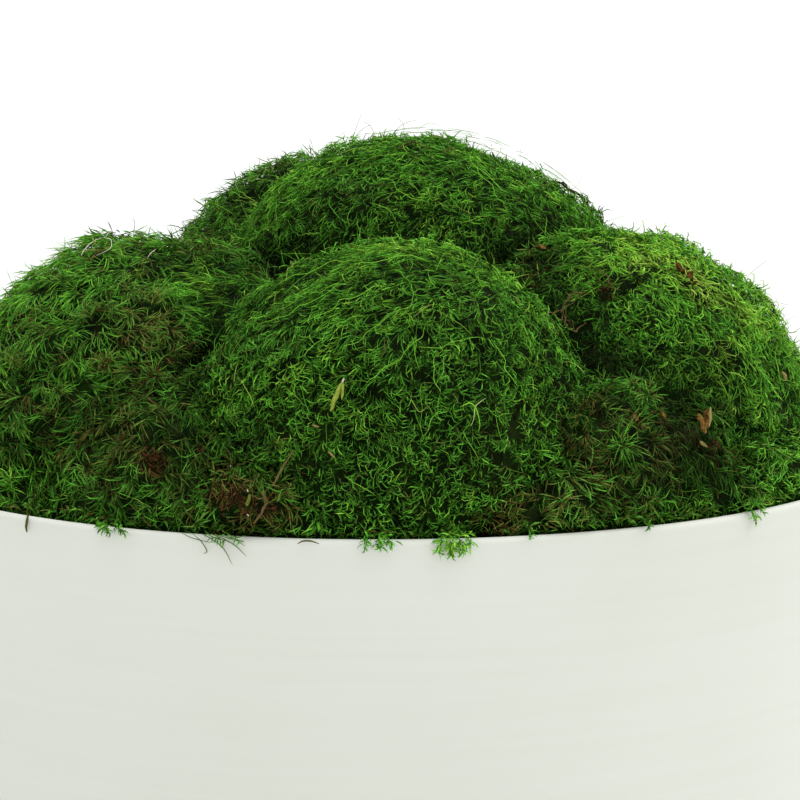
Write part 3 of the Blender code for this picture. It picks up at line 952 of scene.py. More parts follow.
# Painted light of the shoots: painted shade at a clump's edge, a painted lighter top of each mound, and a
# random light for each shoot.
DOME_LIGHT, UPPER_LIGHT, SHOOT_LIGHT = (0.72, 0.34), (0.97, 0.12), (0.78, 1.16)
SLOW_TONE, QUICK_TONE, QUICK_LIGHT = (40 * MM, 0.6), (12 * MM, 0.5), 0.14
Shoots = namedtuple("Shoots", "foot axis normal comb flat shade place size")


def lumps_at(kind, place, seed):
    """How far slow and quick waves raise or sink the mound's surface."""
    quick = waves(place, QUICK_WAVE, seed + 200) * QUICK_LUMP
    return (waves(place, SLOW_WAVE, seed + 100) * kind.lump + quick) * MM


def spread_over(ball, spacing, rng):
    """Even directions about the given spacing apart on the mound's open side."""
    count = int(4 * math.pi * ball.radius**2 / (HEXAGON * spacing**2))
    ways = even_directions(count, rng, SHOOT_JITTER)
    return ways[surface(ball, ways)[1]]


def stand_shoots(ball, kind, seed, rng):
    """The shoots of a mound. They stand in small domed clumps: a foot is raised by one minus the
    square of its distance from the clump's middle, and by slow waves, and sunk in a patch's
    hollow. The axis leans away from the clump's middle and along the comb, which each clump turns
    its own way. Where the moss is combed flat, the comb wins. Each shoot carries painted light: a
    clump's middle and the top of a mound are painted lightest, and a clump's edge and the creases
    get painted shade; each shoot also gets a random light of its own. On the far side fewer shoots
    stand, and they are larger by the root of what is missing."""
    sparse = 1 + BACK_SPARSE * (ball.centre[1] > BACK_FROM)
    ways = spread_over(ball, kind.shoot * MM * sparse, rng)
    share = BACK_SHARE + (1 - BACK_SHARE) * np.clip(1 - BACK_FADE * (ways @ VIEW_FORWARD), 0, 1)
    kept = rng.random(len(ways)) < share
    ways, share = ways[kept], share[kept]
    clumps = spread_over(ball, kind.clump * MM, rng)
    nearest = np.argmax(ways @ clumps.T, 1)
    off = (ways - clumps[nearest]) * ball.radius / (kind.clump * MM * CLUMP_SHARE)
    dome = 1 - np.clip((off**2).sum(1), 0, CLUMP_EDGE)
    place = ball.centre + ways * surface(ball, ways)[0][:, None]
    flat = flat_at(place) * rng.uniform(0.0, FLAT_CHANCE, len(ways)).clip(0, 1)
    loose = 1 - FLAT_LOOSE * flat[:, None]
    raised, shade = creases(ball, ways)
    height = kind.dome * (dome - DOME_MIDDLE) * (1 - FLAT_DOME * flat) * MM
    height += lumps_at(kind, place, seed) - patches_at(place)[2] + raised
    own_turn = rng.normal(size=clumps.shape)[nearest] * kind.swirl
    own_turn = own_turn + rng.normal(size=ways.shape) * OWN_TURN
    comb = unit(comb_at(place, ways, seed) + across(own_turn, ways) * loose)
    lean = (kind.comb + FLAT_PULL * flat[:, None]) * comb
    lean += (across(off, ways) * CLUMP_LEAN + rng.normal(size=ways.shape) * CHANCE_LEAN) * loose
    foot = place + ways * height[:, None]
    shade = shade * (DOME_LIGHT[0] + DOME_LIGHT[1] * dome)
    shade = shade * (UPPER_LIGHT[0] + UPPER_LIGHT[1] * ways[:, 2])
    shade = shade * rng.uniform(*SHOOT_LIGHT, len(ways))
    return Shoots(foot, unit(ways + lean), ways, comb, flat, shade, place, share**-0.5)


def tones_at(kind, shoots, seed):
    """Tone and light of each shoot: the kind's tone, slow and quick waves, the patches, and the shoot's
    painted light and shade.
    """
    place = shoots.place
    slow = waves(place, SLOW_TONE[0], seed + 400) * SLOW_TONE[1]
    waving = slow + waves(place, QUICK_TONE[0], seed + 500) * QUICK_TONE[1]
    added, light, _ = patches_at(place)
    light = light * shoots.shade * (1 + QUICK_LIGHT * waves(place, QUICK_TONE[0], seed + 600))
    return kind.tone + kind.tone_spread * waving + added, light


print("shoots ready")

# %% Leaves of the shoots
TURN_CHANCE, SPREAD_CHANCE = 0.3, (0.35, 1.3)
LEAF_PRESS, LEAF_CURL = 0.55, 0.35
COMB_FALL = 0.6
TONE_CHANCE, TONE_LIMITS = 0.45, (0.09, 0.88)
BROWN_SHARE, BROWN_SHIFT = 0.035, 1.3
FLAT_SPREAD, FLAT_CURL, FLAT_LENGTH, FLAT_WIDTH = 0.5, 0.6, 0.35, 0.2


def grow_leaves(rng, kind, layer, shoots, tones):
    """One layer of leaves round every shoot. Leaves stand round the axis by the golden angle and
    spread from it. They bend towards a mix of the comb, the ground and chance. Most of that
    chance is the shoot's own, so that its leaves curl together. Where the moss is combed flat
    they are longer, straighter and closer. Every leaf loses a share of its rise from the mound,
    so that the outline stays soft."""
    tone, light = tones
    first = unit(across(shoots.comb, shoots.axis))
    second = np.cross(shoots.axis, first)
    count = len(shoots.foot)
    shoot = np.repeat(np.arange(count), layer.count)
    total = len(shoot)
    turn = np.tile(np.arange(layer.count), count) * GOLDEN + rng.uniform(0, 2 * math.pi, count)[shoot]
    turn += rng.normal(size=total) * TURN_CHANCE
    flat, axis, normal = shoots.flat[shoot], shoots.axis[shoot], shoots.normal[shoot]
    spread = layer.spread * rng.uniform(*SPREAD_CHANCE, total) * (1 - FLAT_SPREAD * flat)
    way = round_axis(axis, first[shoot], second[shoot], turn, spread)
    rise = np.maximum(np.sum(way * normal, axis=1), 0.0)[:, None]
    way = unit(way - LEAF_PRESS * rise * normal)
    root = shoots.foot[shoot] + axis * (rng.uniform(*layer.rise, total) * MM)[:, None]
    root += across(rng.normal(size=way.shape), normal) * kind.scatter * MM
    own = across(rng.normal(size=first.shape), shoots.normal)
    own *= kind.curl * (1 - FLAT_CURL * shoots.flat[:, None])
    fall = shoots.comb * COMB_FALL - shoots.normal * kind.down + own
    bend_way = unit(across(fall[shoot] + rng.normal(size=way.shape) * LEAF_CURL, way))
    chance = rng.normal(size=total) * TONE_CHANCE + (rng.normal(size=count) * TONE_CHANCE)[shoot]
    chance -= BROWN_SHIFT * (rng.random(total) < BROWN_SHARE)
    size = shoots.size[shoot] * MM
    return leaf_cloud(
        layer.shape, root, way, bend_way,
        rng.uniform(*layer.length, total) * size * (1 + FLAT_LENGTH * flat),
        rng.uniform(*layer.width, total) * size * (1 - FLAT_WIDTH * flat),
        rng.uniform(*layer.bend, total) * (1 - FLAT_CURL * flat),
        (tone[shoot] + kind.tone_spread * chance).clip(*TONE_LIMITS),
        light[shoot] * rng.uniform(*layer.light, total),
    )


def moss_on(ball, kind, seed):
    """Every leaf on a mound, layer by layer, from the lowest ones, dark with painted shade, to the bright
    ones above.
    """
    rng = np.random.default_rng(seed)
    shoots = stand_shoots(ball, kind, seed, rng)
    tones = tones_at(kind, shoots, seed)
    return [grow_leaves(rng, kind, layer, shoots, tones) for layer in kind.layers]


print("leaves ready")

# %% Moss bed
BED_DEPTH = 4.4 * MM
BED_TONE, BED_TONE_CHANCE = 0.33, 0.10
# The bed's low light is painted shade in the gaps between the leaves.
BED_LIGHT, BED_LIGHT_CHANCE = 0.095, (0.5, 1.5)
BED_FINENESS, BED_STEPS = 0.8, (28, 64)


def bed_cloud(ball, seed):
    """The bed under the leaves, dark with painted shade for the gaps between them: the pressed ball as
    a grid of turns and tilts, a little inside the leaves' feet, with both poles closed."""
    across_steps = int(np.clip(BED_FINENESS * ball.radius / MM, *BED_STEPS))
    up_steps = across_steps // 2
    turn = np.linspace(0, 2 * math.pi, across_steps, endpoint=False)
    tilt = np.linspace(0, math.pi, up_steps + 1)[1:-1]
    tilt, turn = np.meshgrid(tilt, turn, indexing="ij")
    rings = np.stack([np.sin(tilt) * np.cos(turn), np.sin(tilt) * np.sin(turn), np.cos(tilt)], 2)
    ways = np.concatenate([rings.reshape(-1, 3), [(0, 0, 1), (0, 0, -1)]])
    distance = surface(ball, ways)[0]
    place = ball.centre + ways * distance[:, None]
    depth = BED_DEPTH + patches_at(place)[2] - creases(ball, ways)[0]
    depth -= lumps_at(KINDS[ball.kind], place, seed)
    inside = np.minimum(open_radius(ball, ways) - depth, wall_reach(ball, ways) - BED_DEPTH)
    points = ball.centre + ways * np.minimum(inside, plane_reach(ball, ways))[:, None]
    a, b, c, d = ring_grid(up_steps - 1, across_steps)
    top = len(ways) - 2
    first = np.arange(across_steps)
    last = first + (up_steps - 2) * across_steps
    triangles = np.concatenate([
        np.stack([a, c, b], 1), np.stack([b, c, d], 1),
        fan(top, first, np.roll(first, -1)), fan(top + 1, np.roll(last, -1), last),
    ])
    rng = np.random.default_rng(seed)
    tone = BED_TONE + rng.uniform(-BED_TONE_CHANCE, BED_TONE_CHANCE, len(points))
    up = BED_LIGHT * rng.uniform(*BED_LIGHT_CHANCE, len(points))
    return points, triangles, np.stack([tone, up], 1)


def join_clouds(clouds):
    """Several sets of points, triangles and map places as one."""
    starts = np.cumsum([0] + [len(points) for points, _, _ in clouds[:-1]])
    return (
        np.concatenate([c[0] for c in clouds]),
        np.concatenate([c[1] + start for c, start in zip(clouds, starts)]),
        np.concatenate([c[2] for c in clouds]),
    )


def cloud_piece(name, clouds, finish, nodes=(), smooth=True):
    """Clouds as one dressed piece. Gives back its number of triangles."""
    points, triangles, places = join_clouds(clouds)
    piece = triangle_mesh(name, points, triangles, smooth)
    add_map(piece, places)
    finish_piece(piece, finish, nodes)
    print(f"{name}: {len(triangles)} triangles")
    return len(triangles)


print("bed ready")

# %% [markdown]
# ## Moss colour
# One chart holds every colour of the moss. Across it run the tones, from bark brown through deep
# green to yellow-green and straw. Up it runs the painted light and shade that a place gets, from
# the dark foot of a leaf to its tip. A leaf only says where it lies on the chart, so all leaves
# share one material.

# %% Moss finish
MOSS_TONES = [
    (0.00, linear(124, 58, 34)),
    (0.08, linear(122, 100, 48)),
    (0.18, linear(118, 130, 54)),
    (0.30, linear(108, 156, 56)),
    (0.40, linear(98, 176, 54)),
    (0.52, linear(108, 196, 54)),
    (0.66, linear(146, 220, 64)),
    (0.82, linear(174, 224, 76)),
    (0.92, linear(192, 224, 100)),
    (1.00, linear(230, 228, 198)),
]
MOTTLE_TONES, MOTTLE_LIGHTS, MOTTLE, MOTTLE_LEAST = 180.0, 15.0, 2.6, 0.12
LIGHT_LEAST, LIGHT_GAIN, LIGHT_POWER, LIGHT_MOST = 0.006, 1.58, 1.42, 1.4
# Painted sheen: how fast the grey sheen fades out of the dark, and how the pale sheen grows towards the
# tips.
SHADE_SHEEN_POWER, TIP_SHEEN_POWER = 2.0, 3.0
# Red and blue as shares of green: at full colour, then what is added in the dark, a painted grey sheen,
# and at the tips, a painted pale sheen.
RED_SHARES, BLUE_SHARES = (0.96, 0.10, 0.20), (0.96, 0.25, 0.36)


def moss_finish():
    """The chart: a ramp of tones times the painted light, which grows as a power of the height on
    the chart. In the dark and at the bright tips the light holds more red and blue: a painted grey
    sheen makes dark gaps duller, and a painted sheen makes tips paler than the leaves between
    them. A mottling finer than a leaf breaks up the light: it gives every leaf its own light and
    dark bits."""
    moss = Finish("moss", roughness=0.75)
    moss.set("Specular IOR Level", 0.06)
    chart = moss.on_map()
    across_chart, up_chart = moss.across_and_up(chart)
    tone = moss.ramp(across_chart, MOSS_TONES)
    mottle = moss.noise(moss.stretched(chart, (MOTTLE_TONES, MOTTLE_LIGHTS, 1.0)), 1.0, 1.0)
    broken = ((mottle - 0.5) * MOTTLE + 1.0).math("MAXIMUM", MOTTLE_LEAST)
    light = LIGHT_LEAST + LIGHT_GAIN * broken * up_chart ** LIGHT_POWER
    light = light.math("MINIMUM", LIGHT_MOST)
    dull, pale = (1.0 - up_chart) ** SHADE_SHEEN_POWER, up_chart ** TIP_SHEEN_POWER
    red, blue = (
        light * (full + in_dark * dull + at_tip_sheen * pale)
        for full, in_dark, at_tip_sheen in (RED_SHARES, BLUE_SHARES)
    )
    grey = moss.node("ShaderNodeCombineColor", {}, {0: red, 1: light, 2: blue})
    moss.set("Base Color", moss.mix(1.0, tone, grey, blend="MULTIPLY"))
    return moss


MOSS = moss_finish()
print(f"moss chart of {len(MOSS_TONES)} tones")

# %% Grow the moss
total = 0
for number, ball in enumerate(MOUNDS):
    clouds = [bed_cloud(ball, number + 1), *moss_on(ball, KINDS[ball.kind], number + 1)]
    total += cloud_piece(f"grown_{ball.name}", clouds, MOSS, ball.nodes)
print(f"all moss: {total} triangles")

# %% [markdown]
# ## Fringe and stars
# Along the lip the moss reaches over the edge, and in a few places a whole shoot shows its face:
# narrow leaves that radiate from a brown heart.

# %% Fringe on the lip
FRINGE_STEP = 1.1 * MM
FRINGE_INSET, FRINGE_HEIGHT = (0.4, 6), (-1.5, 2.5)
FRINGE_OUT, FRINGE_ASIDE, FRINGE_UP = (0.2, 1.3), 0.6, (0.3, 1.0)
FRINGE_FALL, FRINGE_CURL, FRINGE_BEND = 0.3, 0.4, (0.6, 2.2)
FRINGE_TONE, FRINGE_TONE_WAVE, FRINGE_TONE_CHANCE = 0.36, 0.14, 0.10
FRINGE_LIGHT, FRINGE_LIGHT_WAVE, FRINGE_LIGHT_CHANCE = 0.75, 0.15, (0.6, 1.1)
FRINGE_GAPS, FRINGE_FULLNESS = (-1.6, 1.6), 0.8
FRINGE_LAYERS = ((LONG_BLADE, 2, (4.5, 9.0), (0.32, 0.50)), (BLADE, 2, (3.0, 6.0), (0.30, 0.45)))


def fringe(shape, per_place, length, width, seed):
    """Leaves rooted just inside the lip that lean out over it and bend down. Where slow waves are
    low they are thinned out."""
    rng = np.random.default_rng(seed)
    places = int(2 * math.pi * INNER_RADIUS / FRINGE_STEP)
    count = places * per_place
    angle = rng.uniform(0, 2 * math.pi, count)
    out = np.stack([np.cos(angle), np.sin(angle), 0 * angle], 1)
    along = np.stack([-np.sin(angle), np.cos(angle), 0 * angle], 1)
    root = out * (INNER_RADIUS - rng.uniform(*FRINGE_INSET, count) * MM)[:, None]
    root += UP * (HEIGHT + rng.uniform(*FRINGE_HEIGHT, count) * MM)[:, None]
    lean = rng.uniform(*FRINGE_OUT, (count, 1)) * out
    lean += rng.normal(size=(count, 1)) * FRINGE_ASIDE * along
    way = unit(lean + UP * rng.uniform(*FRINGE_UP, (count, 1)))
    fall = FRINGE_FALL * out - UP + rng.normal(size=way.shape) * FRINGE_CURL
    bend_way = unit(across(fall, way))
    tone = FRINGE_TONE + FRINGE_TONE_WAVE * waves(root, 25 * MM, seed + 1)
    tone = tone + rng.normal(size=count) * FRINGE_TONE_CHANCE
    light = FRINGE_LIGHT + FRINGE_LIGHT_WAVE * waves(root, 14 * MM, seed + 2)
    light = light * rng.uniform(*FRINGE_LIGHT_CHANCE, count)
    kept = waves(root, 30 * MM, seed + 3) > rng.uniform(*FRINGE_GAPS, count) - FRINGE_FULLNESS
    root, way, bend_way, tone, light = (v[kept] for v in (root, way, bend_way, tone, light))
    size = len(root)
    return leaf_cloud(
        shape, root, way, bend_way, rng.uniform(*length, size) * MM,
        rng.uniform(*width, size) * MM, rng.uniform(*FRINGE_BEND, size), tone, light,
    )


fringes = [fringe(*row, 900 + number) for number, row in enumerate(FRINGE_LAYERS)]
cloud_piece("lip_fringe", fringes, MOSS)

# %% Stars
def strewn(make, rows, lift):
    """Calls a maker for each row: with its number, its point on the heap, the outward direction
    there, and what the row says after its pixel."""
    points, normals = on_heap([row[:2] for row in rows], lift)
    return [make(k, points[k], normals[k], *row[2:]) for k, row in enumerate(rows)]


STARS = [
    # pixel, leaf length in mm, leaves, tone in the middle of a leaf
    (106, 363, 9.5, 38, 0.27), (154, 377, 11.0, 48, 0.27), (646, 397, 9.5, 36, 0.34),
    (621, 447, 8.5, 44, 0.34), (632, 385, 6.0, 44, 0.36), (168, 330, 8.5, 22, 0.28),
    (60, 392, 9.0, 22, 0.30), (128, 420, 8.0, 18, 0.24), (88, 470, 8.5, 22, 0.28),
    (560, 500, 9.0, 22, 0.30), (650, 500, 8.5, 20, 0.30), (130, 290, 8.0, 20, 0.30),
    (106, 363, 3.8, 30, 0.07), (154, 377, 3.8, 30, 0.07),
]
STAR_LIFT, STAR_HEART, STAR_SCATTER = 3.0 * MM, 0.4 * MM, 0.5 * MM
STAR_FACING, STAR_TILT, STAR_TURN, STAR_SPREAD, STAR_CURL = 0.3, 0.25, 0.5, (0.35, 1.6), 0.6
STAR_LENGTH, STAR_WIDTH, STAR_BEND = (0.5, 1.1), (0.28, 0.42), (0.4, 2.0)
STAR_RISE, STAR_TONE_CHANCE, STAR_LIGHT = 0.32, 0.09, (0.55, 0.95)


def star(number, point, normal, length, count, tone):
    """Narrow leaves round one heart. They leave it at a wide angle and arch over outward."""
    rng = np.random.default_rng(700 + number)
    axis = unit(normal - STAR_FACING * VIEW_FORWARD + rng.normal(size=3) * STAR_TILT)
    first = unit(across(VIEW_UP, axis))
    turn = np.arange(count) * GOLDEN + rng.normal(size=count) * STAR_TURN
    spread = rng.uniform(*STAR_SPREAD, count)
    way = round_axis(axis, first, np.cross(axis, first), turn, spread)
    bend_way = unit(across(rng.normal(size=way.shape) * STAR_CURL - axis, way))
    root = point + way * STAR_HEART + rng.normal(size=way.shape) * STAR_SCATTER
    return leaf_cloud(
        THREAD, root, way, bend_way, length * rng.uniform(*STAR_LENGTH, count) * MM,
        rng.uniform(*STAR_WIDTH, count) * MM, rng.uniform(*STAR_BEND, count),
        tone + rng.normal(size=count) * STAR_TONE_CHANCE, rng.uniform(*STAR_LIGHT, count), STAR_RISE,
    )


cloud_piece("moss_stars", strewn(star, STARS, STAR_LIFT), MOSS)

# %% [markdown]
# ## Peat
# Between the moss the brown base shows in a few spots. It is made of the same thin blades, short,
# crooked and pointing anywhere, at the brown end of the moss chart.

# %% Crumbs of peat
PEAT = [
    # pixel, reach in mm, crumbs
    (153, 456, 1.8, 70), (158, 466, 1.5, 40), (200, 451, 1.4, 30), (207, 468, 1.8, 60),
    (215, 477, 2.0, 80), (222, 486, 2.0, 80), (231, 495, 2.1, 90), (241, 500, 1.8, 60),
    (249, 508, 1.6, 40), (222, 504, 2.0, 30), (270, 506, 2.4, 50),
    (71, 266, 1.2, 14), (497, 524, 2.4, 30), (717, 445, 1.6, 24), (606, 290, 2.4, 36),
]
PEAT_LIFT, PEAT_DEPTH, PEAT_STAND = 1.4 * MM, (-2.0, 0.4), 0.4
PEAT_LENGTH, PEAT_WIDTH, PEAT_BEND = (1.4, 4.2), (0.25, 0.70), (0.1, 1.6)
PEAT_TONE, PEAT_RISE, PEAT_LIGHT = (0.04, 0.02), 0.03, (0.25, 0.75)


def crumbs(number, point, normal, reach, count):
    """Short crooked bits of brown fibre, strewn over a patch of a mound."""
    rng = np.random.default_rng(900 + number)
    root = point + across(rng.normal(size=(count, 3)), normal) * reach * MM
    root += normal * rng.uniform(*PEAT_DEPTH, (count, 1)) * MM
    way = unit(rng.normal(size=root.shape) + PEAT_STAND * normal)
    return leaf_cloud(
        BLADE, root, way, unit(across(rng.normal(size=root.shape), way)),
        rng.uniform(*PEAT_LENGTH, count) * MM, rng.uniform(*PEAT_WIDTH, count) * MM,
        rng.uniform(*PEAT_BEND, count), PEAT_TONE[0] + rng.normal(size=count) * PEAT_TONE[1],
        rng.uniform(*PEAT_LIGHT, count), PEAT_RISE,
    )


cloud_piece("peat_crumbs", strewn(crumbs, PEAT, PEAT_LIFT), MOSS)

# %% [markdown]
# ## Loose strands
# Long thin stems lie over the mounds, some combed flat and some in loops. A strand is a smooth
# curve through a few points on the moss, with a thin three-sided tube along it.

# %% Strand maths
def smooth_path(points, steps):
    """A Catmull-Rom curve through points, given as strands x points x 3. Between two points at a
    share t it is half of (2 b + (c - a) t + (2 a - 5 b + 4 c - d) t squared
    + (3 b - a - 3 c + d) t cubed)."""
    before, after = 2 * points[:, :1] - points[:, 1:2], 2 * points[:, -1:] - points[:, -2:-1]
    ends = np.concatenate([before, points, after], 1)
    a, b, c, d = (ends[:, k : len(ends[0]) - 3 + k, None] for k in range(4))
    t = (np.arange(steps) / steps)[None, None, :, None]
    square, cube = 2 * a - 5 * b + 4 * c - d, 3 * b - a - 3 * c + d
    curve = 0.5 * (2 * b + (c - a) * t + square * t**2 + cube * t**3)
    return np.concatenate([curve.reshape(len(points), -1, 3), points[:, -1:]], 1)


def paths_through(rows, place, steps):
    """Smooth paths through the four pixels that end each row of a table. The place gives the
    points of all those pixels."""
    pixels = np.array([row[-4:] for row in rows], float).reshape(-1, 2)
    return smooth_path(place(pixels).reshape(-1, 4, 3), steps)


def laid_paths(rows, lifts, steps):
    """Smooth paths that lie on the heap, each lifted off it by its own amount."""
    return paths_through(rows, lambda pixels: on_heap(pixels, np.repeat(lifts, 4)[:, None])[0], steps)


def wander(paths, reach, length, seed):
    """Paths moved a little by waves."""
    return paths + reach * waving_vectors(paths.reshape(-1, 3), length, seed).reshape(paths.shape)


# On the heap, up is the way from a point this deep under the middle of the foam's top
HEAP_DEPTH = 80 * MM
TUBE_ENDS = (0.03, 0.97)


def tubes(paths, radii, sides=3, swelling=0.5):
    """Tubes along paths: points, triangles, and for every point its sine and cosine round the
    tube and its share of the way. Each path has a ring of points at each step but the ends, which
    are single points. The radius swells as a power of the sine of pi times the share."""
    count, steps = paths.shape[:2]
    along = unit(np.gradient(paths, axis=1))
    up = unit(paths - np.array((0, 0, FOAM_TOP - HEAP_DEPTH)))
    side = unit(np.cross(along, up))
    over = np.cross(side, along)
    turn = np.arange(sides) * 2 * math.pi / sides
    share = np.linspace(0, 1, steps)
    swell = np.sin(math.pi * share.clip(*TUBE_ENDS)) ** swelling
    thick = radii.reshape(count, -1)[:, :, None, None] * swell[None, :, None, None]
    ring = np.cos(turn)[:, None] * side[:, :, None] + np.sin(turn)[:, None] * over[:, :, None]
    rings = (paths[:, :, None] + thick * ring)[:, 1:-1]
    points = np.concatenate([paths[:, :1], rings.reshape(count, -1, 3), paths[:, -1:]], 1)
    k = np.arange(sides)
    low = 1 + np.arange(steps - 3)[:, None] * sides
    a, b = (low + k).ravel(), (low + (k + 1) % sides).ravel()
    last = 1 + (steps - 3) * sides
    one = np.concatenate([
        *bands(a, b, a + sides, b + sides),
        fan(0, 1 + (k + 1) % sides, 1 + k),
        fan(last + sides, last + k, last + (k + 1) % sides),
    ])
    triangles = repeated(one, count, points.shape[1])
    sine = np.concatenate([[0], np.tile(np.sin(turn), steps - 2), [0]])
    cosine = np.concatenate([[0], np.tile(np.cos(turn), steps - 2), [0]])
    way = np.concatenate([[0], np.repeat(share[1:-1], sides), [1]])
    return points.reshape(-1, 3), triangles, (sine, cosine, way)


def strand_cloud(paths, radii, tones, lights):
    """Tubes whose colour is a place on the moss chart, with painted light: the upper side of a tube is a
    little lighter than its under side.
    """
    points, triangles, (sine, cosine, _) = tubes(paths, radii)
    tone = tones[:, None] + TONE_WIDTH * cosine
    # Painted light: the upper side of each tube is a little lighter.
    light = lights[:, None] * (0.9 + 0.08 * sine)
    return points, triangles, np.stack([tone, light], 2).reshape(-1, 2)


print("strand maths ready")

# %% Strands that the photograph shows
LAID_STRANDS = [
    # tone, radius in mm, lift in mm, then four pixels
    (0.62, 0.24, 5.0, (380, 322), (400, 308), (418, 294), (434, 281)),
    (0.60, 0.24, 5.0, (380, 376), (399, 360), (414, 341), (431, 321)),
    (0.60, 0.20, 5.0, (410, 335), (413, 346), (417, 357), (419, 366)),
    (0.60, 0.26, 5.5, (436, 350), (432, 368), (438, 384), (439, 395)),
    (0.58, 0.26, 5.5, (439, 393), (436, 411), (428, 428), (420, 440)),
    (0.60, 0.24, 5.5, (449, 351), (446, 363), (442, 375), (438, 386)),
    (0.66, 0.26, 5.5, (435, 310), (451, 319), (467, 330), (472, 338)),
    (0.58, 0.22, 5.5, (413, 347), (436, 349), (458, 342), (490, 336)),
    (0.60, 0.26, 5.5, (491, 337), (500, 352), (508, 372), (520, 390)),
    (0.92, 0.26, 5.5, (487, 397), (476, 406), (474, 417), (470, 427)),
    (0.68, 0.36, 5.5, (461, 408), (470, 405), (478, 414), (476, 431)),
    (0.86, 0.24, 5.5, (412, 388), (413, 400), (418, 407), (427, 404)),
    (0.62, 0.22, 5.5, (517, 343), (524, 346), (529, 352), (531, 359)),
    (0.60, 0.22, 5.0, (294, 361), (306, 354), (318, 344), (330, 333)),
    (0.62, 0.24, 5.0, (331, 361), (352, 344), (374, 327), (400, 310)),
    (0.60, 0.24, 5.0, (363, 384), (377, 375), (389, 367), (400, 358)),
    (0.86, 0.26, 5.0, (238, 373), (243, 385), (250, 396), (256, 405)),
    (0.86, 0.24, 5.5, (279, 281), (285, 272), (290, 265), (296, 257)),
    (0.62, 0.24, 5.0, (241, 253), (255, 238), (271, 226), (290, 212)),
    (0.64, 0.22, 5.0, (370, 204), (379, 207), (388, 211), (397, 218)),
    (0.64, 0.22, 5.0, (387, 176), (399, 188), (411, 199), (426, 202)),
    (0.64, 0.24, 5.0, (464, 152), (479, 167), (493, 181), (506, 193)),
    (0.60, 0.24, 5.0, (466, 159), (482, 176), (496, 192), (509, 209)),
    (0.60, 0.22, 5.0, (560, 212), (566, 219), (570, 226), (572, 234)),
    (0.84, 0.22, 5.0, (444, 203), (454, 205), (463, 209), (472, 213)),
    (0.80, 0.22, 5.0, (458, 219), (469, 217), (480, 216), (492, 219)),
    (0.64, 0.22, 5.0, (200, 232), (212, 241), (222, 246), (231, 249)),
    (0.62, 0.22, 5.0, (228, 213), (232, 222), (238, 229), (246, 233)),
    (0.97, 0.26, 7.0, (80, 257), (86, 248), (94, 241), (103, 238)),
    (0.97, 0.26, 7.0, (103, 238), (111, 240), (109, 249), (94, 257)),
    (0.97, 0.18, 7.0, (103, 238), (106, 236), (109, 233), (112, 231)),
    (0.97, 0.20, 7.0, (147, 258), (150, 254), (153, 251), (156, 248)),
    (0.84, 0.24, 6.0, (752, 355), (755, 361), (759, 368), (762, 374)),
    (0.60, 0.22, 5.0, (270, 290), (300, 275), (330, 263), (360, 254)),
    (0.62, 0.22, 5.0, (262, 318), (290, 303), (320, 290), (350, 276)),
    (0.60, 0.22, 5.0, (255, 330), (285, 316), (310, 302), (338, 288)),
    (0.64, 0.22, 5.0, (300, 322), (330, 308), (355, 296), (385, 280)),
    (0.64, 0.22, 5.0, (345, 268), (375, 262), (405, 256), (435, 262)),
    (0.80, 0.18, 4.0, (228, 192), (238, 196), (248, 197), (258, 196)),
    (0.80, 0.18, 4.0, (230, 200), (240, 202), (250, 202), (260, 203)),
    (0.78, 0.18, 4.0, (236, 188), (244, 193), (252, 199), (258, 207)),
]
STEPS_BETWEEN = 5
STRAND_LIFT = -1.6 * MM
STRAND_TONE, STRAND_THICKNESS = 0.02, 0.54
PALE_TONE = 0.9
STRAND_WANDER, STRAND_LIGHT = (0.15, 0.9), (0.98, 0.68)


def laid_strands():
    """The strands of the table. The pale ones are the brightest and lie the smoothest."""
    tones = column(LAID_STRANDS, 0) + STRAND_TONE
    radii = column(LAID_STRANDS, 1) * MM * STRAND_THICKNESS
    lifts = column(LAID_STRANDS, 2) * MM + STRAND_LIFT
    pale = tones > PALE_TONE
    reach = np.where(pale, *STRAND_WANDER)[:, None, None] * MM
    paths = wander(laid_paths(LAID_STRANDS, lifts, STEPS_BETWEEN), reach, 8 * MM, 50)
    return strand_cloud(paths, radii, tones, np.where(pale, *STRAND_LIGHT))


print(f"{len(LAID_STRANDS)} strands")


# %% Strands all round
COMBED_STEPS, COMBED_SPACING = 6, 3 * MM
COMBED_HEIGHT, COMBED_STEP = (0.6, 3.0), (1.0, 3.4)
COMBED_TURN, COMBED_DRIFT = 0.6, 0.35
COMBED_RADIUS, COMBED_TONE, COMBED_LIGHT = (0.08, 0.13), (0.44, 0.68), (0.50, 0.84)


def some_of(ball, spacing, count, rng):
    """A number of directions at random places on a mound's open side."""
    ways = spread_over(ball, spacing, rng)
    return ways[rng.permutation(len(ways))[:count]]


def combed_strands(ball, count, seed):
    """Strands that follow the comb from random places of a mound: each step goes a little way
    along the comb and back to the mound's surface."""
    rng = np.random.default_rng(seed + 50)
    ways = some_of(ball, COMBED_SPACING, count, rng)
    height = ball.radius + rng.uniform(*COMBED_HEIGHT, (len(ways), 1)) * MM
    step = rng.uniform(*COMBED_STEP, (len(ways), 1)) * MM
    turn = rng.normal(size=(len(ways), 3)) * COMBED_TURN
    path = [ball.centre + ways * height]
    for _ in range(COMBED_STEPS):
        turn = turn + rng.normal(size=turn.shape) * COMBED_DRIFT
        comb = unit(comb_at(path[-1], ways, seed) + turn)
        ways = unit(path[-1] + comb * step - ball.centre)
        path.append(ball.centre + ways * height)
    paths = np.stack(path, 1)
    paths = paths[surface_clear(ball, paths)]
    size = len(paths)
    return strand_cloud(
        paths, rng.uniform(*COMBED_RADIUS, size) * MM, rng.uniform(*COMBED_TONE, size),
        rng.uniform(*COMBED_LIGHT, size),
    )


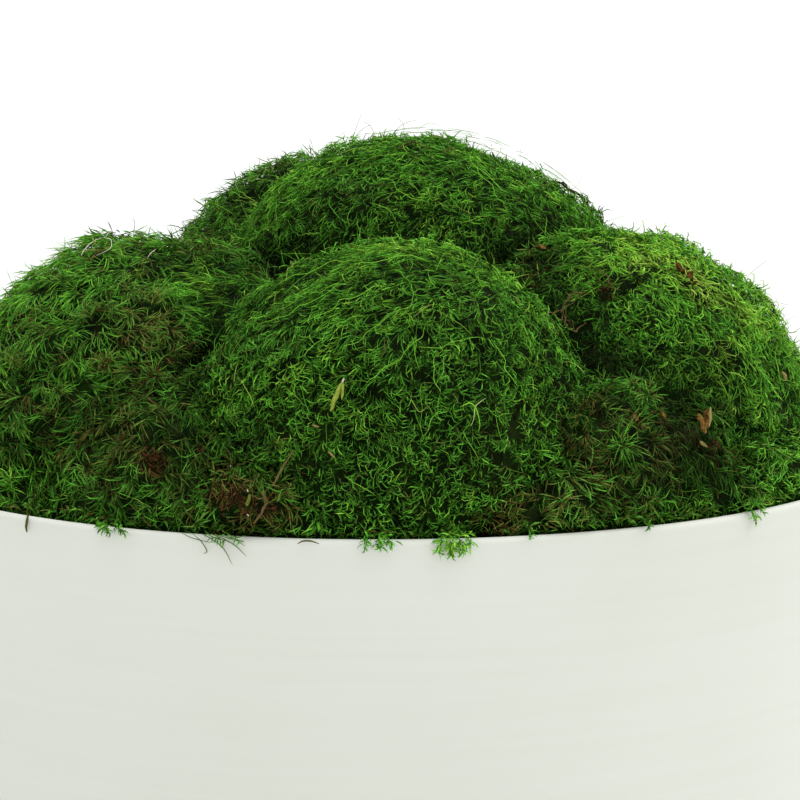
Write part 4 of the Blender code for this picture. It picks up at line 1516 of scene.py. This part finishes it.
def surface_clear(ball, paths):
    """Which paths stay on the open side of their mound and clear of the bowl."""
    ways = unit(paths - ball.centre)
    is_open = surface(ball, ways.reshape(-1, 3))[1].reshape(ways.shape[:2])
    return is_open.all(1) & clear_of_wall(paths)


STRAND_AREA = {"short": 130 * MM * MM, "curly": 210 * MM * MM, "feathery": 360 * MM * MM}
clouds = [laid_strands()]
for number, ball in enumerate(MAIN_MOUNDS):
    amount = int(2 * math.pi * ball.radius**2 / STRAND_AREA[ball.kind])
    clouds.append(combed_strands(ball, amount, number + 1))
cloud_piece("loose_strands", clouds, MOSS)

# %% [markdown]
# ## Stray hairs
# Against a white wall the heap has a halo of single hairs. Some are noted by their pixels and run
# in the air, and the others stand out of the large mounds at random.

# %% Stray hairs
WISPS = [
    # four pixels: the first on the moss, the others in the air beside it
    (352, 146), (356, 136), (364, 128), (374, 124),
    (372, 144), (374, 134), (370, 126), (362, 120),
    (392, 138), (398, 128), (408, 122), (418, 120),
    (400, 138), (404, 130), (402, 122), (396, 117),
    (415, 136), (420, 128), (430, 123), (440, 126),
    (340, 150), (338, 142), (342, 134), (350, 130),
    (745, 279), (752, 272), (762, 264), (773, 257),
    (757, 289), (768, 297), (780, 310), (793, 330),
    (768, 299), (776, 302), (784, 304), (792, 306),
    (774, 306), (779, 311), (784, 315), (789, 314),
    (784, 324), (789, 319), (794, 316), (800, 318),
    (790, 333), (796, 331), (800, 328), (806, 326),
]
HAIRS_PER_MOUND, HAIR_SPACING, HAIR_STEPS = 45, 4 * MM, 6
HAIR_SLANT, HAIR_CURL, HAIR_DROOP, HAIR_LENGTH = 0.9, 0.45, 0.25, (5, 13)
HAIR_RADIUS, HAIR_TONE, HAIR_LIGHT = (0.06, 0.11), (0.55, 0.95), (0.5, 0.95)
WISP_LIGHT = 0.45


def wisps():
    """Hairs that leave the moss and run in the air at the depth of their root."""
    pixels = np.array(WISPS, float).reshape(-1, 4, 2)
    roots, _ = on_heap(pixels[:, 0])
    deep = (roots - EYE) @ VIEW_FORWARD
    ways = rays(pixels.reshape(-1, 2)).reshape(-1, 4, 3)
    paths = EYE + ways * (deep[:, None] / (ways @ VIEW_FORWARD))[:, :, None]
    return smooth_path(paths, 4)


def stray_hairs(ball, seed):
    """Fine hairs that stand out of a mound and droop: root + length (s along + s squared bend)."""
    rng = np.random.default_rng(seed + 80)
    ways = some_of(ball, HAIR_SPACING, HAIRS_PER_MOUND, rng)
    root = ball.centre + ways * ball.radius
    along = unit(ways + across(rng.normal(size=ways.shape), ways) * HAIR_SLANT)
    bend = rng.normal(size=ways.shape) * HAIR_CURL - HAIR_DROOP * UP
    length = rng.uniform(*HAIR_LENGTH, (len(ways), 1, 1)) * MM
    s = np.linspace(0, 1, HAIR_STEPS)[None, :, None]
    paths = root[:, None] + length * (s * along[:, None] + s * s * bend[:, None])
    return paths[clear_of_wall(paths)]


def hair_cloud(number, paths, light):
    """Fine three-sided hairs along paths, pale to straw."""
    rng = np.random.default_rng(60 + number)
    size = len(paths)
    lights = rng.uniform(*HAIR_LIGHT, size) * light
    radii = rng.uniform(*HAIR_RADIUS, size) * MM
    return strand_cloud(paths, radii, rng.uniform(*HAIR_TONE, size), lights)


clouds = [hair_cloud(0, wisps(), WISP_LIGHT)]
for number, ball in enumerate(MAIN_MOUNDS):
    clouds.append(hair_cloud(number + 1, stray_hairs(ball, number), 1.0))
cloud_piece("stray_hairs", clouds, MOSS)

# %% [markdown]
# ## Sprigs over the lip
# Here and there a shoot has slipped over the lip. Each sprig is a bent stem whose points are
# noted by pixels, with small curled leaves all along it.

# %% Sprigs
SPRIGS = [
    # leaves, leaf length in mm, tone, then four pixels of the stem
    (34, 3.4, 0.48, (372, 531), (368, 537), (366, 542), (364, 547)),
    (34, 3.4, 0.50, (378, 531), (379, 538), (380, 543), (381, 547)),
    (30, 3.2, 0.48, (384, 531), (387, 537), (390, 541), (394, 543)),
    (56, 3.8, 0.60, (444, 529), (442, 537), (440, 545), (438, 552)),
    (56, 3.8, 0.64, (450, 529), (450, 538), (451, 546), (452, 555)),
    (56, 3.8, 0.62, (456, 529), (459, 537), (461, 545), (463, 552)),
    (40, 3.6, 0.58, (462, 529), (466, 534), (469, 540), (470, 546)),
    (18, 3.0, 0.46, (527, 526), (529, 530), (530, 534), (531, 538)),
    (26, 3.2, 0.56, (749, 502), (751, 508), (753, 514), (755, 521)),
    (22, 3.0, 0.56, (756, 502), (759, 507), (762, 511), (766, 514)),
    (32, 3.2, 0.38, (103, 520), (105, 525), (107, 529), (110, 533)),
    (24, 3.0, 0.36, (114, 522), (118, 527), (121, 530), (126, 533)),
    (24, 3.2, 0.38, (638, 516), (643, 521), (648, 525), (655, 527)),
    (26, 3.2, 0.40, (97, 519), (100, 523), (102, 527), (103, 531)),
    (14, 3.0, 0.33, (204, 530), (211, 536), (219, 539), (228, 541)),
    (12, 2.8, 0.33, (224, 531), (231, 536), (238, 540), (244, 541)),
]
HANGING = [
    # tone, radius in mm, then four pixels
    (0.30, 0.24, (200, 533), (212, 539), (224, 549), (233, 566)),
    (0.28, 0.24, (208, 533), (222, 538), (236, 546), (247, 557)),
    (0.34, 0.22, (214, 534), (228, 538), (238, 541), (246, 547)),
    (0.26, 0.22, (192, 533), (201, 541), (207, 551), (203, 554)),
    (0.38, 0.22, (222, 534), (232, 538), (239, 537), (247, 535)),
    (0.30, 0.20, (180, 532), (190, 537), (200, 540), (212, 543)),
    (0.12, 0.36, (297, 544), (303, 541), (311, 541), (320, 544)),
    (0.13, 0.60, (28, 512), (27, 519), (26, 526), (27, 533)),
]
HANGING_LIGHT = 0.5
SPRIG_FREE, SPRIG_SCATTER = 0.2 * MM, 0.3 * MM
SPRIG_OUT, SPRIG_CHANCE, SPRIG_INWARD, SPRIG_CURL = (0.1, 0.9), 0.7, 1.5, 0.5
SPRIG_LENGTH, SPRIG_WIDTH, SPRIG_BEND = (0.7, 1.3), (0.45, 0.75), (0.9, 2.6)
# The sprig leaves have their foot painted in shade too.
SPRIG_TONE_CHANCE, SPRIG_LIGHT, SPRIG_FOOT_LIGHT = 0.06, (0.55, 1.0), 0.35
STEM_RADIUS, STEM_TONE, STEM_LIGHT = 0.3 * MM, 0.4, 0.6


def sprig_leaves(number, path, count, length, tone):
    """Curled leaves round a stem, from random places along it. Those that would cut the bowl are
    left out."""
    rng = np.random.default_rng(1200 + number)
    place = path[rng.integers(1, len(path) - 1, count)]
    place = place + rng.normal(size=(count, 3)) * SPRIG_SCATTER
    out = unit(place * (1 - UP))
    way = rng.uniform(*SPRIG_OUT, (count, 1)) * out
    way = unit(way + rng.normal(size=(count, 3)) * SPRIG_CHANCE)
    inward = np.minimum((way * out).sum(1, keepdims=True), 0)
    way = unit(way - out * inward * SPRIG_INWARD)
    bend_way = unit(across(rng.normal(size=way.shape) * SPRIG_CURL - UP, way))
    points = leaf_points(
        place, way, bend_way, length * rng.uniform(*SPRIG_LENGTH, count) * MM,
        rng.uniform(*SPRIG_WIDTH, count) * MM, rng.uniform(*SPRIG_BEND, count), LONG_BLADE,
    )
    radius = np.hypot(points[:, :, 0], points[:, :, 1])
    outside, above = radius > RIM_RADIUS + SPRIG_FREE, points[:, :, 2] > HEIGHT + SPRIG_FREE
    points = points[(outside | above).all(1)]
    tone = tone + rng.normal(size=len(points)) * SPRIG_TONE_CHANCE
    light = rng.uniform(*SPRIG_LIGHT, len(points))
    return on_chart(points, LONG_BLADE, tone, light, foot_light=SPRIG_FOOT_LIGHT)


def rim_paths(rows, lift):
    """Smooth paths that hang over the lip."""
    return paths_through(rows, lambda pixels: on_rim(pixels, lift), STEPS_BETWEEN)


def evenly(value, rows):
    """The same value for each row."""
    return np.full(len(rows), value)


sprig_paths, hanging_paths = rim_paths(SPRIGS, 1.4 * MM), rim_paths(HANGING, 0.8 * MM)
clouds = [sprig_leaves(k, sprig_paths[k], *row[:3]) for k, row in enumerate(SPRIGS)]
stem = [evenly(value, SPRIGS) for value in (STEM_RADIUS, STEM_TONE, STEM_LIGHT)]
clouds.append(strand_cloud(sprig_paths, *stem))
clouds.append(strand_cloud(
    hanging_paths, column(HANGING, 1) * MM, column(HANGING, 0), evenly(HANGING_LIGHT, HANGING)
))
cloud_piece("lip_sprigs", clouds, MOSS)

# %% [markdown]
# ## Twigs and dry leaves
# Bits of the forest floor came along with the moss. Twigs and roots are tubes with knots. Leaves
# and flakes are thin closed sheets, cupped and crumpled, with veins drawn on their own map.

# %% Bark and leaf finishes
BARK_STOPS = (0.30, 0.52, 0.72)
SIDE_VEINS, VEIN_SLANT = 9.0, 7.0
MIDRIB_WIDTH, VEIN_WIDTH, VEIN_SHARE = 0.06, 0.09, 0.5


def line_at(finish, value, width):
    """One where the value is nought, falling to nought at the width."""
    return finish.node("ShaderNodeMapRange", {}, {0: value, 1: 0.0, 2: width, 3: 1.0, 4: 0.0})


def bark_finish(name, *colours):
    """Bark in three colours, with grain along the twig and darker cracks."""
    bark = Finish(name, roughness=0.95)
    bark.set("Specular IOR Level", 0.08)
    grain = bark.noise(bark.stretched(bark.on_map(), (9.0, 5.0, 1.0)), 1.6, 5.0)
    stops = [(stop, linear(*colour)) for stop, colour in zip(BARK_STOPS, colours)]
    bark.set("Base Color", bark.ramp(grain, stops))
    bark.raise_by(grain, distance=0.2 * MM)
    return bark


def leaf_finish(name, dark, light, vein):
    """A leaf: blotches between two colours, a midrib and slanting side veins."""
    leaf = Finish(name, roughness=0.9)
    leaf.set("Specular IOR Level", 0.08)
    place = leaf.on_map()
    across_leaf, up_leaf = leaf.across_and_up(place)
    stops = [(0.35, linear(*dark)), (0.65, linear(*light))]
    ground = leaf.ramp(leaf.noise(place, 5.0, 4.0), stops)
    aside = (across_leaf - 0.5).math("ABSOLUTE")
    slanting = ((up_leaf * SIDE_VEINS - aside * VEIN_SLANT).math("FRACT") - 0.5).math("ABSOLUTE")
    ribs = line_at(leaf, aside, MIDRIB_WIDTH) + line_at(leaf, slanting, VEIN_WIDTH) * VEIN_SHARE
    leaf.set("Base Color", leaf.mix(ribs.math("MINIMUM", 0.9), ground, paint(vein)))
    return leaf


FINISHES = {
    "bark": bark_finish("bark", (54, 44, 23), (106, 89, 50), (160, 138, 90)),
    "pale_bark": bark_finish("pale_bark", (68, 56, 28), (116, 98, 56), (166, 146, 98)),
    "dark_bark": bark_finish("dark_bark", (24, 20, 12), (48, 40, 26), (84, 72, 48)),
    "fresh": leaf_finish("fresh_leaf", (112, 134, 36), (160, 176, 66), (196, 204, 120)),
    "olive": leaf_finish("olive_leaf", (72, 92, 28), (112, 132, 50), (140, 150, 80)),
    "straw": leaf_finish("straw_leaf", (112, 104, 52), (158, 144, 82), (184, 170, 112)),
    "dry": leaf_finish("dry_leaf", (54, 34, 10), (142, 102, 42), (186, 146, 84)),
    "red": leaf_finish("red_bark", (52, 32, 12), (124, 84, 42), (44, 28, 14)),
    "pale": leaf_finish("pale_flake", (196, 184, 160), (226, 220, 204), (180, 160, 130)),
}
print(", ".join(FINISHES))

# %% Twigs
TWIGS = [
    # radius in mm, lift in mm, then four pixels
    (0.44, 8.0, (261, 492), (266, 502), (262, 514), (252, 524)),
    (0.22, 8.5, (253, 495), (258, 499), (263, 499), (267, 503)),
    (0.24, 8.0, (268, 489), (266, 495), (267, 503), (264, 509)),
    (0.34, 7.5, (588, 290), (574, 294), (565, 303), (561, 314)),
    (0.30, 7.5, (562, 315), (566, 326), (576, 331), (585, 321)),
    (0.22, 7.5, (582, 291), (574, 299), (567, 308), (566, 322)),
    (0.20, 7.0, (545, 318), (551, 313), (558, 312), (566, 309)),
    (0.18, 7.5, (578, 288), (568, 298), (563, 309), (571, 327)),
    (0.18, 7.0, (563, 321), (567, 318), (572, 322), (577, 333)),
    (0.28, 5.5, (398, 148), (408, 143), (418, 144), (430, 149)),
    (0.24, 5.5, (441, 149), (447, 151), (452, 150), (459, 155)),
    (0.26, 6.5, (700, 410), (706, 414), (710, 412), (716, 416)),
    (0.22, 6.0, (598, 268), (606, 277), (612, 286), (622, 290)),
]
STICK = [(0.40, 10.0, (294, 449), (286, 462), (279, 475), (271, 488))]
DARK_TWIGS = [
    (0.44, 4.4, (552, 181), (561, 184), (570, 189), (581, 198)),
    (0.32, 4.4, (561, 184), (565, 180), (570, 181), (575, 178)),
    (0.26, 4.4, (567, 187), (569, 191), (574, 193), (578, 198)),
    (0.50, 6.6, (762, 292), (767, 298), (773, 306), (772, 314)),
    (0.24, 6.6, (769, 301), (774, 300), (778, 303), (783, 304)),
    (0.28, 6.5, (536, 246), (544, 250), (552, 249), (560, 254)),
]


TWIG_STEPS, TWIG_SIDES, TWIG_SWELLING = 6, 6, 0.25
KNOT, KNOT_LENGTH = 0.22, 2.5 * MM
FIRST_STRIP, LAST_STRIP, STRIP_LENGTH, STRIP_SLANT, STRIP_HALF = 0.04, 0.70, 0.25, 0.02, 0.45


def twig_cloud(rows, crook=0.40):
    """Six-sided tubes with knots: their radius varies by waves along the twig. Each twig has its
    own strip of the map, so that no two have the same grain."""
    paths = laid_paths(rows, column(rows, 1) * MM - COVER, TWIG_STEPS)
    paths = wander(paths, crook * MM, 5 * MM, 40)
    knots = 1 + KNOT * waves(paths.reshape(-1, 3), KNOT_LENGTH, 44).reshape(paths.shape[:2])
    radii = column(rows, 0)[:, None] * MM * knots
    points, triangles, (sine, cosine, way) = tubes(paths, radii, TWIG_SIDES, TWIG_SWELLING)
    first = np.linspace(FIRST_STRIP, LAST_STRIP, len(rows))[:, None]
    round_twig = 0.5 + STRIP_HALF * cosine + 0 * first
    along_twig = first + STRIP_LENGTH * way + STRIP_SLANT * sine
    return points, triangles, np.stack([round_twig, along_twig], 2).reshape(-1, 2)


cloud_piece("twigs", [twig_cloud(TWIGS)], FINISHES["bark"])
cloud_piece("pale_stick", [twig_cloud(STICK, 0.10)], FINISHES["pale_bark"])
cloud_piece("dark_twigs", [twig_cloud(DARK_TWIGS)], FINISHES["dark_bark"])

# %% Leaves and flakes
FLAKES = [
    # name, finish, half width, bulge, lift and crumple in mm, first and last pixel
    ("pale_leaf_long", "fresh", 1.00, 0.8, 7.5, 0.60, (343, 380), (330, 411)),
    ("pale_leaf_short", "fresh", 0.60, 0.5, 8.0, 0.50, (343, 382), (342, 400)),
    ("pale_leaf_tip", "pale", 0.45, 0.2, 8.4, 0.10, (344, 378), (342, 383)),
    ("small_leaf", "olive", 0.8, 0.6, 6.5, 0.70, (250, 494), (247, 506)),
    ("straw_bit", "straw", 0.45, 0.5, 6.0, 0.50, (328, 451), (335, 458)),
    ("tan_bit", "straw", 0.4, 0.3, 6.0, 0.20, (312, 425), (319, 427)),
    ("dry_leaf", "dry", 2.4, 1.0, 7.5, 0.50, (706, 409), (705, 433)),
    ("dry_leaf_side", "dry", 1.3, 0.8, 7.8, 0.50, (699, 413), (704, 431)),
    ("dry_leaf_rib", "straw", 0.7, 0.4, 8.6, 0.30, (711, 406), (709, 427)),
    ("tan_flake", "straw", 0.6, 0.5, 6.5, 0.50, (700, 441), (707, 447)),
    ("brown_bit", "dry", 0.7, 0.4, 6.5, 0.50, (633, 414), (638, 421)),
    ("brown_chip", "dry", 0.7, 0.4, 6.5, 0.50, (661, 411), (665, 419)),
    ("bark_chunk", "red", 1.5, 0.8, 6.9, 1.30, (675, 265), (697, 283)),
    ("bark_chunk_side", "red", 1.0, 0.6, 7.8, 0.60, (677, 263), (688, 276)),
    ("orange_bit", "dry", 0.9, 0.5, 6.5, 0.60, (538, 244), (546, 250)),
    ("white_speck", "pale", 0.20, 0.2, 6.5, 0.10, (230, 464), (231, 467)),
    ("white_speck_low", "pale", 0.20, 0.2, 6.5, 0.10, (247, 489), (248, 492)),
    ("white_speck_rim", "pale", 0.20, 0.2, 6.5, 0.10, (247, 514), (249, 516)),
    ("tan_chip", "straw", 0.8, 0.4, 6.0, 0.40, (782, 371), (787, 380)),
]
ROWS, COLUMNS = 12, 7
SHEET_THICKNESS = 0.18 * MM
RAGGED_EDGE, RAGGED_STEP, CRUMPLE_STEP = 0.18, 1.6 * MM, 3 * MM
SHEET_TIP, SHEET_BODY, SHEET_ROUNDNESS = 0.04, 0.92, 0.8
FLAKE_TILT = 0.4


def sheet(path, out, half, bulge, thick, crumple, seed):
    """A thin closed sheet along a path. Its half width follows a power of the sine of pi times the
    share, it is cupped by the square of the distance from the midrib, and crumpled by waves."""
    along = unit(np.gradient(path, axis=0))
    side = unit(np.cross(along, out))
    over = np.cross(side, along)[:, None]
    share = np.linspace(0, 1, len(path))
    swell = np.sin(math.pi * (SHEET_TIP + SHEET_BODY * share)) ** SHEET_ROUNDNESS
    wide = (half * swell)[:, None]
    v = np.linspace(-1, 1, COLUMNS)
    ragged = 1 + RAGGED_EDGE * waves(path, RAGGED_STEP, seed)[:, None] * np.abs(v)
    grid = path[:, None] + side[:, None] * (wide * v * ragged)[:, :, None]
    cupped = bulge * np.sin(math.pi * share)[:, None] - 0.5 * wide * v * v
    grid = grid + over * cupped[:, :, None]
    creased = crumple * waves(grid.reshape(-1, 3), CRUMPLE_STEP, seed + 1)
    grid = grid + over * creased.reshape(len(path), COLUMNS, 1)
    top, bottom = grid.reshape(-1, 3), (grid - over * thick).reshape(-1, 3)
    i, j = np.meshgrid(np.arange(len(path) - 1), np.arange(COLUMNS - 1), indexing="ij")
    a = (i * COLUMNS + j).ravel()
    upper = np.concatenate(bands(a, a + 1, a + COLUMNS, a + COLUMNS + 1))
    last = (len(path) - 1) * COLUMNS
    edge = np.concatenate([
        np.arange(COLUMNS - 1), np.arange(COLUMNS - 1, last + COLUMNS - 1, COLUMNS),
        np.arange(last + COLUMNS - 1, last, -1), np.arange(last, 0, -COLUMNS),
    ])
    after = np.roll(edge, -1)
    border = [
        np.stack([edge, edge + len(top), after + len(top)], 1),
        np.stack([edge, after + len(top), after], 1),
    ]
    triangles = np.concatenate([upper, upper[:, ::-1] + len(top), *border])
    places = np.stack(np.broadcast_arrays(0.5 + 0.46 * v[None], (0.03 + 0.94 * share)[:, None]), 2)
    return np.concatenate([top, bottom]), triangles, np.tile(places.reshape(-1, 2), (2, 1))


def flake(number, half, bulge, lift, crumple, first, last):
    """A sheet that lies on the heap from one pixel to another, tilted a little by chance."""
    share = np.linspace(0, 1, ROWS)[:, None]
    pixels = np.array(first) * (1 - share) + np.array(last) * share
    path, normals = on_heap(pixels, lift * MM - COVER)
    tilt = FLAKE_TILT * np.random.default_rng(number).normal(size=3)
    out = unit(normals.mean(0) + tilt) + 0 * path
    return sheet(path, out, half * MM, bulge * MM, SHEET_THICKNESS, crumple * MM, number * 3)


for number, (name, finish, *rest) in enumerate(FLAKES):
    cloud_piece(name, [flake(number, *rest)], FINISHES[finish], smooth=False)
